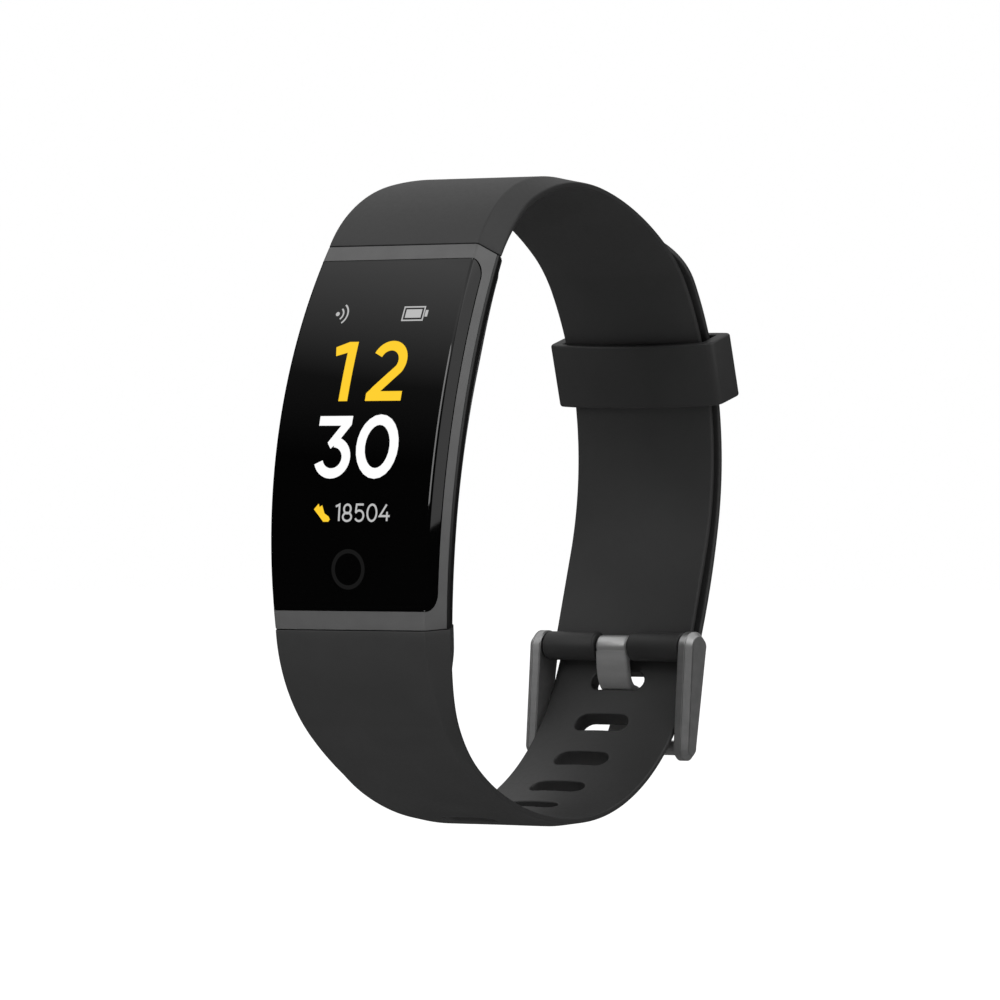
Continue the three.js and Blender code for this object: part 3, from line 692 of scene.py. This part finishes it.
def hour_digits():
    shape = Solid()
    stroke(shape, [(-2.12, 8.22), (-2.12, 2.55)], 0.96)
    patch(shape, [(-3.98, 7.72), (-2.6, 8.22), (-2.6, 7.17), (-3.8, 6.85)])
    stroke(shape, arc_points(2.18, 6.37, 1.43, 1.43, 158, -36) + [(1.04, 3.37)], 0.93)
    patch(shape, [(0.3, 2.55), (0.3, 3.27), (0.74, 3.68), (1.77, 3.46), (1.77, 2.55)])
    stroke(shape, [(1.0, 3.0), (4.17, 3.0)], 0.9)
    return shape.object("display_hour")


def minute_digits():
    shape = Solid()
    top = [(-4.28, 0.28), (-4.28, 1.16), (-0.7, 1.16), (-0.72, 0.35), (-1.85, 0.27)]
    leg = [(-0.72, 0.35), (-1.85, -1.09), (-2.71, -1.86), (-3.1, -1.3), (-1.85, 0.27)]
    patch(shape, top)
    patch(shape, leg)
    stroke(shape, arc_points(-2.42, -2.68, 1.5, 1.43, 86, -163), 0.93)
    stroke(shape, arc_points(2.36, -1.66, 1.81, 2.46, 0, 360)[:-1], 0.95, closed=True)
    return shape.object("display_minute")


def step_count():
    """Five small digits: x is in millimetres across the face, y is a share of their height."""
    base, tall = -8.4, 1.48
    shape = Solid()

    def draw(points, closed=False):
        stroke(shape, [(x, base + y * tall) for x, y in points], 0.19, closed)

    def ellipse(x, y, rx, ry, start=0, end=360):
        points = arc_points(x, y, rx, ry, start, end, 20)
        closed = end - start == 360
        draw(points[:-1] if closed else points, closed)

    draw([(-1.55, 0.88), (-1.15, 1.0), (-1.15, 0)])
    ellipse(-0.27, 0.73, 0.37, 0.27)
    ellipse(-0.27, 0.25, 0.46, 0.25)
    draw([(1.48, 1.0), (0.72, 1.0), (0.66, 0.55)])
    ellipse(1.04, 0.32, 0.47, 0.32, 150, -150)
    ellipse(2.42, 0.5, 0.5, 0.5)
    draw([(3.98, 1.0), (3.28, 0.3), (4.36, 0.3)])
    draw([(4.06, 0.56), (4.06, 0.0)])
    return shape.object("display_steps")


def shoe_sign():
    sole = [(-3.93, -7.35), (-3.45, -6.84), (-3.32, -7.15), (-3.05, -6.98), (-2.75, -7.72)]
    sole += [(-2.3, -7.98), (-2.13, -8.25), (-2.3, -8.47), (-2.85, -8.47)]
    shape = Solid()
    patch(shape, sole)
    return shape.object("display_shoe")


def battery_sign():
    shape = Solid()
    frame = [(2.47, 10.27), (4.68, 10.27), (4.68, 11.6), (2.47, 11.6)]
    stroke(shape, frame, 0.14, closed=True)
    stroke(shape, [(2.72, 10.94), (3.6, 10.94), (4.43, 10.94)], 0.84)
    stroke(shape, [(4.82, 10.94), (5.12, 10.94)], 0.66)
    return shape.object("display_battery")


def signal_sign():
    """A dot and two arcs: a wireless link."""
    shape = Solid()
    stroke(shape, arc_points(-4.75, 11.02, 0.11, 0.11, 0, 360, 12)[:-1], 0.2, closed=True)
    for radius in (0.62, 1.1):
        stroke(shape, arc_points(-4.75, 11.02, radius, radius, -55, 55, 12), 0.17)
    return shape.object("display_signal")


def touch_ring():
    shape = Solid()
    stroke(shape, arc_points(0, -12.72, 1.62, 1.62, 0, 360, 48)[:-1], 0.38, closed=True)
    return shape.object("display_touch_ring")


# ---------------------------------------------------------------- the straps
TIP_ROUNDING = 7  # length of the tail's round tip


def upper_size(s):
    """The upper strap's section at a distance from the module: see inner_depth for its parts."""
    return {
        "flat": mix(FLAT_END, 5.3, smooth(s, 0, 26)),
        "half": mix(FLAT_END + BEVEL_WIDTH, STRAP_HALF, smooth(s, 0, 23)),
        "rise": mix(BEVEL_DEPTH, 0.7, smooth(s, 4, 24)),
        "crown": 0.65 - mix(0, 0.5, smooth(s, 66, 75)),
        "boss": mix(2.3, 0, smooth(s, 2, 14)),
        "edge": mix(0.25, STRAP_EDGE, smooth(s, 0, 10)),
    }


def lower_size(s):
    """The lower strap's section, which narrows to a round tip."""
    size = {
        "flat": mix(FLAT_END, 5.3, smooth(s, 0, 38)),
        "half": mix(FLAT_END + BEVEL_WIDTH, STRAP_HALF, smooth(s, 0, 17)),
        "rise": mix(BEVEL_DEPTH, 0.8, smooth(s, 0, 21)),
        "crown": mix(0.45, 1.1, smooth(s, 28, 50)) - mix(0, 0.5, smooth(s, 54, 61.5)),
        "boss": mix(3.6, 0, smooth(s, 3.5, 16)),
        "edge": mix(0.25, STRAP_EDGE, smooth(s, 0, 10)),
    }
    into = max(0, s - (LOWER_PATH.length - TIP_ROUNDING)) / TIP_ROUNDING
    narrow = max(0.002, 1 - into**2.2) ** 0.5
    size["half"] *= narrow
    size["flat"] *= narrow
    return size


def inner_depth(size, x):
    """Depth of the strap's inner face below the outer one: the fall of the bevelled side, a
    crown in the middle, and the boss that fills the section out where it meets the module."""
    share = min(1, abs(x) / size["half"])
    boss = size["boss"] * smooth(1 - share, 0.06, 0.26)
    return size["rise"] + size["crown"] * (1 - share * share) + boss


MIDDLE_HALF = 4.5  # half width of the strip that the slots lie in
MIDDLE_STEPS = 12
STRAP_START = 0.07  # the straps stop this far short of the module
STRAP_END_EASE = 0.08
ROWS_PER_SLOT = 10
TIP_ROWS = 40
NOTCH_ROOM = 0.25  # beside the tongue
SIDE_SHARES = (0.97, 0.93, 0.88, 0.82, 0.76, 0.7, 0.66)


def strap_outline(size):
    """The strap's section, starting with the middle strip of the outer face, left to right."""
    half, flat, rise = size["half"], size["flat"], size["rise"]
    middle = min(MIDDLE_HALF, 0.6 * half)
    across = [mix(-middle, middle, k / MIDDLE_STEPS) for k in range(MIDDLE_STEPS + 1)]
    outer = [(x, 0) for x in across]
    corners = [(middle, 0, 0), (flat, 0, 0.14), (half, rise - size["edge"], 0.2)]
    corners += [(half, rise, 0.18), (half * SIDE_SHARES[0], inner_depth(size, half * 0.97), 0)]
    right = rounded(corners)[1:-1]
    right += [(half * k, inner_depth(size, half * k)) for k in SIDE_SHARES]
    inner = [(x, inner_depth(size, x)) for x in reversed(across)]
    left = [(-x, d) for x, d in reversed(right)]
    return outer + right + inner + left, len(outer) + len(right)


def strap_solid(path, size, stations, slots=()):
    """A strap as one mesh, with a clean ring of faces round each slot."""
    shape = Solid()
    rings = []
    for s, amount in stations:
        outline, inner_start = strap_outline(size(s))
        rings.append([path.point(s, x, d) for x, d in inset(outline, amount)])
    holes = set(range(MIDDLE_STEPS)) | set(range(inner_start, inner_start + MIDDLE_STEPS))

    def skip(r):
        middle = (stations[r][0] + stations[r + 1][0]) / 2
        return holes if any(abs(middle - s) < SLOT_PITCH / 2 for s in slots) else ()

    shape.loft(rings, skip=skip)
    for s in slots:
        rows = [t for t, _ in stations if abs(t - s) < SLOT_PITCH / 2 + 1e-6]
        slot_faces(shape, path, size, s, rows)
    return shape


def slot_faces(shape, path, size, centre, rows):
    """The faces from the strip's edge to a slot, through it and back to the edge inside."""
    x_marks = [mix(-MIDDLE_HALF, MIDDLE_HALF, k / MIDDLE_STEPS) for k in range(MIDDLE_STEPS + 1)]
    edge = [(MIDDLE_HALF, s) for s in rows]
    edge += [(x, rows[-1]) for x in reversed(x_marks[:-1])]
    edge += [(-MIDDLE_HALF, s) for s in reversed(rows[:-1])]
    edge += [(x, rows[0]) for x in x_marks[1:-1]]
    straight = (SLOT_WIDE - SLOT_LONG) / 2
    turns = len(rows) - 1

    def slot_edge(grow):
        r = SLOT_LONG / 2 + grow
        points = [turn_point(straight, centre, r, -90 + 180 * k / turns) for k in range(turns + 1)]
        points += [(mix(straight, -straight, k / MIDDLE_STEPS), centre + r)
                   for k in range(1, MIDDLE_STEPS + 1)]
        points += [turn_point(-straight, centre, r, 90 + 180 * k / turns)
                   for k in range(1, turns + 1)]
        points += [(mix(-straight, straight, k / MIDDLE_STEPS), centre - r)
                   for k in range(1, MIDDLE_STEPS)]
        return points

    ease = 0.16
    wide = slot_edge(ease)
    loops = []
    for k in (1, 0.6, 0.3, 0.1):
        loops.append([(mix(a[0], b[0], k), mix(a[1], b[1], k), 0.0) for a, b in zip(wide, edge)])
    quarter = [PI / 2 * k / 4 for k in range(5)]
    for a in quarter:
        depth = ease * (1 - math.cos(a))
        loops.append([(x, s, depth) for x, s in slot_edge(ease * (1 - math.sin(a)))])
    for a in reversed(quarter):
        up = ease * (1 - math.cos(a))
        loops.append(
            [(x, s, inner_depth(size(s), x) - up) for x, s in slot_edge(ease * (1 - math.sin(a)))]
        )
    for k in (0.1, 0.3, 0.6, 1):
        ring = [(mix(a[0], b[0], k), mix(a[1], b[1], k)) for a, b in zip(wide, edge)]
        loops.append([(x, s, inner_depth(size(s), x)) for x, s in ring])
    rings = [[path.point(s, x, d) for x, s, d in loop] for loop in loops]
    shape.loft(rings, caps=False)


def turn_point(x, s, radius, degrees):
    """A point on the round end of a slot."""
    a = rad(degrees)
    return x + radius * math.cos(a), s + radius * math.sin(a)


def slot_places():
    s = 0
    while LOWER_PATH.at(s)[2] < 1.5 * PI or LOWER_PATH.at(s)[1] < TONGUE_SLOT_Z:
        s += 0.05
    return [s + (i - SLOT_TONGUE + 1) * SLOT_PITCH for i in range(SLOT_COUNT)]


def lower_strap():
    slots = slot_places()
    length = LOWER_PATH.length
    first_cell = slots[0] - SLOT_PITCH / 2
    last_cell = slots[-1] + SLOT_PITCH / 2
    # The rounding at the far end gives way to the rows of the slots.
    stations = soft_stations(STRAP_START, first_cell, STRAP_END_EASE, 44)[: -EASE_STEPS - 1]
    rows = ROWS_PER_SLOT * len(slots)
    stations += [(mix(first_cell, last_cell, k / rows), 0) for k in range(rows + 1)]
    bunched = [math.sin(PI / 2 * k / TIP_ROWS) for k in range(1, TIP_ROWS)]
    stations += [(last_cell + (length - last_cell) * share, 0) for share in bunched]
    strap = strap_solid(LOWER_PATH, lower_size, stations, slots).object("lower_strap_moulding")
    pocket = plug_solid(6.3, 1.5, -2, 3.7).object("socket_room")
    boolean(strap, pocket)
    return boolean(strap, plug_solid(5.8, 1.05, -2, 9.5).object("plug_room"))


def plug_solid(half, thick, start, end):
    """A rounded block along the plug's line."""
    right = [(half, thick, PLUG_EASE), (half, -thick, PLUG_EASE)]
    outline = rounded(mirrored(right))
    along = Vector((0, PLUG_DIR[0], PLUG_DIR[1])).normalized()
    across = Vector((0, -along.z, along.y))
    base = Vector((0, PLUG_BASE[0], PLUG_BASE[1]))

    def ring(t):
        return [tuple(base + along * t + across * d + Vector((x, 0, 0))) for x, d in outline]

    return Solid().loft([ring(start), ring(end)])


def round_bar(radius, half, ease, middle=(0, 0), segments=48):
    """A bar along X with eased ends."""
    levels = [(-half + ease * (1 - math.cos(a)), radius - ease * (1 - math.sin(a)))
              for a in [PI / 2 * k / 4 for k in range(5)]]
    levels += [(-x, r) for x, r in reversed(levels)]
    (y, z), angles = middle, [2 * PI * k / segments for k in range(segments)]
    rings = [[(x, y + r * math.cos(a), z + r * math.sin(a)) for a in angles] for x, r in levels]
    return Solid().loft(rings)


def prism(x_half, outline):
    """A block across the band from its outline in (y, z)."""
    return Solid().loft([[(x, y, z) for y, z in outline] for x in (-x_half, x_half)])


def notch_outline():
    """The room for the tongue: open in front and below, and round behind the pin."""
    (y, z), far, room = PIN, 4.5, TONGUE_RING + 0.15
    back = [rad(70 * k / 6) for k in range(7)]
    corners = [(y - far, z - far), (y + far, z - far), (y + far, z - 0.3), (y + room, z - 0.3)]
    corners += [(y + room * math.cos(a), z + room * math.sin(a)) for a in back]
    top = corners[-1][0]
    return corners + [(top, z + 2.5), (y - far, z + 2.5)]


def upper_strap():
    stations = soft_stations(STRAP_START, UPPER_PATH.length, STRAP_END_EASE, 150)
    strap = strap_solid(UPPER_PATH, upper_size, stations).object("upper_strap_moulding")
    wide = TONGUE_HALF + NOTCH_ROOM
    boolean(strap, prism(wide, notch_outline()).object("tongue_notch"))
    length = STRAP_HALF - wide + 0.1
    for side in (-1, 1):
        lug = round_bar(LUG_RADIUS, length / 2, 0.22, PIN)
        shift = side * (STRAP_HALF - length / 2)
        lug.verts = [(vx + shift, vy, vz) for vx, vy, vz in lug.verts]
        boolean(strap, lug.object("strap_lug"), "UNION")
    return boolean(strap, round_bar(PIN_BORE, 9, 0.1, PIN, 32).object("pin_bore"))


def loop_solid(outer, inner, width, ease, place):
    """A loop between two matched outlines, width long, with eased edges."""
    section = []
    half = width / 2
    for a, w, turn in ((1, 1, 0), (0, 1, 90), (0, -1, 180), (1, -1, 270)):
        for k in range(4):
            angle = rad(turn + 90 * k / 3)
            section.append((a, w, math.cos(angle), math.sin(angle)))
    rings = []
    for (xo, yo), (xi, yi) in zip(outer, inner):
        thick = max(0.2, math.hypot(xo - xi, yo - yi))
        round_by = min(ease, 0.4 * thick)
        ring = []
        for a, w, c, s in section:
            share = a + (round_by / thick) * (c - (1 if a else -1))
            z = w * (half - round_by) + round_by * s
            ring.append(place(mix(xi, xo, share), mix(yi, yo, share), z))
        rings.append(ring)
    return Solid().loft(rings, caps=False, ring_closes=True)


def keeper_outline(half, low, high, low_crown, high_crown, ease):
    """A closed outline, crowned above and below."""
    steps = 12
    shares = [1 - 2 * k / steps for k in range(steps + 1)]
    top = [(half * k, high + high_crown * (1 - k * k), 0) for k in shares]
    bottom = [(-half * k, low - low_crown * (1 - k * k), 0) for k in shares]
    for run in (top, bottom):
        for end in (0, -1):
            x, y, _ = run[end]
            run[end] = (x, y, ease)
    return rounded(top + bottom, 5)


def keeper():
    edge = BACK_RADIUS - 0.7
    outer = keeper_outline(KEEPER_HALF, edge - 0.72, TAIL_RADIUS + 0.95, 0.95, 0.3, 0.7)
    inner = keeper_outline(KEEPER_INSIDE, edge - 0.3, TAIL_RADIUS + 0.25, 0.65, 0.0, 0.3)
    c, s = math.cos(KEEPER_ANGLE), math.sin(KEEPER_ANGLE)

    def place(x, r, z):
        return x, BACK_CENTRE[0] + r * c - z * s, BACK_CENTRE[1] + r * s + z * c

    return loop_solid(outer, inner, KEEPER_LONG, 0.22, place).object("keeper_loop_moulding")


# ---------------------------------------------------------------- the buckle
def arm_outline(less):
    """An arm from the side, as (y, z), smaller by less: round at the pin, slimmer at the foot."""
    (y, z), (fy, fz), (wide, tall) = PIN, ARM_FOOT, ARM_HEAD
    toe = ARM_TOE - less
    top = [PI - PI * k / 24 for k in range(25)]
    bottom = [0.1 - (PI + 0.1) * k / 24 for k in range(25)]
    points = [(y + ARM_LEAN + (wide - less) * math.cos(a), z + (tall - less) * math.sin(a))
              for a in top]
    return points + [(fy + toe * math.cos(a), fz + toe * math.sin(a)) for a in bottom]


def buckle_frame():
    """Each arm is chamfered widely outside and narrowly inside, with a groove by the chamfer."""
    wide, narrow, groove = 0.56, 0.12, 0.07
    width = ARM_OUTSIDE - ARM_INSIDE
    levels = [(0, narrow), (narrow, 0), (width - wide - 2 * groove, 0)]
    levels += [(width - wide - groove, 1.5 * groove), (width - wide, 0)]
    levels += [(width - 1.5 * groove, wide - 1.5 * groove), (width - groove, wide + groove)]
    levels += [(width, wide)]
    shape = Solid()
    for side in (-1, 1):
        rings = []
        for distance, less in levels:
            x = side * (ARM_INSIDE + distance)
            rings.append([(x, y, z) for y, z in arm_outline(less)])
        shape.loft(rings)
    shape.add(round_bar(CROSSBAR_RADIUS, ARM_INSIDE + 0.4, 0.05, ARM_FOOT, 32))
    return shape.object("buckle_frame_cast", sharp=20)


def catmull(points, per_span):
    """Points along a smooth curve through the given ones, with the curve's direction at each."""
    padded = [points[0]] + list(points) + [points[-1]]
    run = []
    for i in range(1, len(padded) - 2):
        p0, p1, p2, p3 = (Vector(p) for p in padded[i - 1 : i + 3])
        last = i == len(padded) - 3
        for k in range(per_span + (1 if last else 0)):
            t = k / per_span
            a = 2 * p1 + (p2 - p0) * t
            b = (2 * p0 - 5 * p1 + 4 * p2 - p3) * t * t
            c = (3 * p1 - p0 - 3 * p2 + p3) * t**3
            run.append((a + b + c) / 2)
    directions = []
    for i in range(len(run)):
        before, after = run[max(0, i - 1)], run[min(len(run) - 1, i + 1)]
        directions.append((after - before).normalized())
    return list(zip(run, directions))


def buckle_tongue():
    """A flat finger from the pin, out through the slot and back to rest on the crossbar."""
    y, z = PIN
    route = [(y - TONGUE_RING + TONGUE_THICK / 2, z - 0.4), (y - 0.5, z - 2), (y - 0.2, z - 3.2)]
    route += [(y + 0.4, z - 3.92), (y + 1.3, z - 4.22), (y + 2.05, z - 4.8), (y + 2.25, z - 6)]
    route += [(y + 1.9, z - 7.3)]
    rest = ARM_FOOT[0] + CROSSBAR_RADIUS + 0.15 + TONGUE_THICK / 2
    route += [(y + 1.1, z - 8.7), (rest, ARM_FOOT[1] - 0.4)]
    run = catmull(route, 6)
    shape = Solid()
    rings = []
    for i, (p, t) in enumerate(run):
        to_end = len(run) - 1 - i
        narrow = 1 - 0.12 * max(0, 4 - to_end) / 4
        half, thick = TONGUE_HALF * narrow, TONGUE_THICK / 2
        corners = mirrored([(half, thick, TONGUE_EASE), (half, -thick, TONGUE_EASE)])
        outline = inset(rounded(corners), 0.16 if to_end == 0 else 0)
        rings.append([(x, p.x + d * t.y, p.y - d * t.x) for x, d in outline])
    shape.loft(rings)
    shape.add(round_bar(TONGUE_RING, TONGUE_HALF, TONGUE_EASE, PIN))
    return shape.object("buckle_tongue_cast")


def spring_coil(side):
    """Half of the coil spring in the spring bar, from the middle to a tip."""
    steps = 24 * COIL_TURNS
    shape = Solid()
    rings = []
    for i in range(steps + 1):
        t = i / steps
        a = 2 * PI * COIL_TURNS * t
        out = Vector((0, math.cos(a), math.sin(a)))
        middle = Vector((side * mix(2 * COIL_WIRE, COIL_LONG, t), *PIN)) + out * COIL_RADIUS
        around = [2 * PI * k / 8 for k in range(8)]
        across = Vector((1, 0, 0))
        rings.append(
            [tuple(middle + COIL_WIRE * (math.cos(b) * out + math.sin(b) * across)) for b in around]
        )
    return shape.loft(rings).object(f"spring_coil_{'right' if side > 0 else 'left'}")


# ---------------------------------------------------------------- studio and camera
CAMERA_AZIMUTH = rad(33.8)
CAMERA_DISTANCE = 650
PIXELS_PER_MM = 10.85
IMAGE_SIZE = 1000
SENSOR = 36
PICTURE_CENTRE = (498, 503)  # where the origin falls in the image


def add_camera():
    data = bpy.data.cameras.new("camera")
    data.sensor_width = SENSOR
    data.lens = PIXELS_PER_MM * CAMERA_DISTANCE / IMAGE_SIZE * SENSOR
    data.shift_x = (IMAGE_SIZE / 2 - PICTURE_CENTRE[0]) / IMAGE_SIZE
    data.shift_y = (PICTURE_CENTRE[1] - IMAGE_SIZE / 2) / IMAGE_SIZE
    data.clip_end = 3 * STUDIO_REACH * MM
    camera = bpy.data.objects.new("camera", data)
    bpy.context.scene.collection.objects.link(camera)
    away = Vector((math.sin(CAMERA_AZIMUTH), -math.cos(CAMERA_AZIMUTH), 0))
    camera.location = away * CAMERA_DISTANCE * MM
    camera.rotation_euler = (PI / 2, 0, CAMERA_AZIMUTH)
    bpy.context.scene.camera = camera


def area_light(name, azimuth, elevation, distance, size, power):
    """A light that faces the origin: angles in degrees, distance and size in metres."""
    data = bpy.data.lights.new(name, "AREA")
    data.shape = "RECTANGLE"
    data.size, data.size_y = size
    data.energy = power
    light = bpy.data.objects.new(name, data)
    bpy.context.scene.collection.objects.link(light)
    a, e = rad(azimuth), rad(elevation)
    away = Vector((math.sin(a) * math.cos(e), -math.cos(a) * math.cos(e), math.sin(e)))
    light.location = away * distance
    light.rotation_euler = away.to_track_quat("Z", "Y").to_euler()


FLOOR_Z = -41.5  # below the lower strap even when it is pulled off
STUDIO_REACH = 3000
SKY = [(0.3, 0.0), (0.5, 0.1), (0.76, 1.05), (1.0, 0.25)]  # sine of elevation, radiance


def add_sky():
    """A soft sky that is brightest overhead and dark towards the horizon."""
    world = bpy.data.worlds.new("studio")
    bpy.context.scene.world = world
    world.use_nodes = True
    nodes, links = world.node_tree.nodes, world.node_tree.links
    where = nodes.new("ShaderNodeTexCoord")
    split = nodes.new("ShaderNodeSeparateXYZ")
    ramp = nodes.new("ShaderNodeValToRGB")
    links.new(where.outputs["Generated"], split.inputs["Vector"])
    links.new(split.outputs["Z"], ramp.inputs["Fac"])
    links.new(ramp.outputs["Color"], nodes["Background"].inputs["Color"])
    brightest = max(value for _, value in SKY)
    nodes["Background"].inputs["Strength"].default_value = brightest
    elements = ramp.color_ramp.elements
    while len(elements) < len(SKY):
        elements.new(0.5)
    for element, (position, value) in zip(elements, SKY):
        element.position = position
        element.color = colour(value / brightest)


def add_floor():
    reach = STUDIO_REACH
    floor = Solid()
    floor.verts = [(x * reach, y * reach, FLOOR_Z) for x, y in ((-1, -1), (1, -1), (1, 1), (-1, 1))]
    floor.faces = [(0, 1, 2, 3)]
    floor = floor.object("floor")
    look = Look("floor_pale", 0.2, 0.9, emission=0.93)
    look.shader.inputs["Emission Color"].default_value = colour(1)
    look.vary_roughness(0.01, 0.85, 0.95)
    dress(floor, look)
    floor.visible_glossy = False


def add_backdrop():
    """A white surround that only the camera sees."""
    surround = Solid()
    turns = [2 * PI * i / 48 for i in range(48)]
    rings = []
    for k in range(9):
        e = rad(mix(-2, 60, k / 8))
        across, up = 0.9 * STUDIO_REACH * math.cos(e), 0.9 * STUDIO_REACH * math.sin(e)
        rings.append([(across * math.cos(a), across * math.sin(a), up) for a in turns])
    backdrop = surround.loft(rings, caps=False).object("backdrop")
    dress(backdrop, glow("backdrop_white", 1.0))
    for ray in ("diffuse", "glossy", "transmission", "volume_scatter", "shadow"):
        setattr(backdrop, f"visible_{ray}", False)


def add_studio():
    add_sky()
    add_floor()
    add_backdrop()
    area_light("front", -6, 26, 1.3, (0.8, 0.7), 7.2)
    area_light("back", 215, 14, 1.3, (1.1, 1.0), 1.2)
    area_light("right", 94, 24, 1.3, (1.1, 1.1), 4)
    bpy.context.scene.view_settings.view_transform = "Standard"


# ---------------------------------------------------------------- the object
def add_piece(obj, look, slot, body, *replaced):
    """Puts a mesh on a body, with its material, in place of CAD nodes if any are named."""
    dress(obj, look)
    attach(obj, body)
    if replaced:
        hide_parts(*replaced)


def main():
    for obj in list(bpy.data.objects):
        bpy.data.objects.remove(obj)
    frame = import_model()
    looks = make_looks()
    slots = {entry["node"]: entry["material_slot"] for entry in frame["record"]["subparts"]}
    for node, obj in frame["nodes"].items():
        dress(obj, looks[slots[node]])

    add_piece(cover_glass(), looks["glass"], "glass", "band", "cover_glass")
    add_piece(bezel_frame(), looks["bezel"], "bezel", "band", "bezel_frame")
    add_piece(housing_shell(), looks["housing"], "housing", "band", "lower_housing")
    add_piece(sensor_window(), looks["window"], "window", "band", "sensor_window")
    add_piece(upper_strap(), looks["silicone"], "silicone", "band", "upper_strap")
    add_piece(keeper(), looks["keeper_silicone"], "keeper_silicone", "keeper_loop", "keeper")
    add_piece(buckle_frame(), looks["gunmetal"], "gunmetal", "buckle", "buckle_frame")
    # The tongue wears the lighter copy of the gunmetal, whose extra lightness is painted light.
    add_piece(buckle_tongue(), looks["tongue_metal_painted_light"], "gunmetal", "tongue", "buckle_tongue")

    lower = dress(lower_strap(), looks["silicone"])
    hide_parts("lower_strap_collar", "lower_strap_bend", "lower_strap")
    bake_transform(lower)

    for name, side in (("left", -1), ("right", 1)):
        coil = spring_coil(side)
        add_piece(coil, looks["steel"], "steel", "band", f"spring_bar_coil_{name}")
        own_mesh(coil)

    yellow = glow("display_yellow", (1.0, 0.63, 0.032))
    white = glow("display_white", 1.0)
    grey = glow("display_grey", 0.5)
    dim = glow("display_dim", 0.0095)
    lit = [(hour_digits, yellow), (minute_digits, white), (step_count, grey), (shoe_sign, yellow)]
    lit += [(battery_sign, grey), (signal_sign, grey), (touch_ring, dim)]
    for make, look in lit:
        add_piece(make(), look, "display", "band")

    add_studio()
    add_camera()


main()
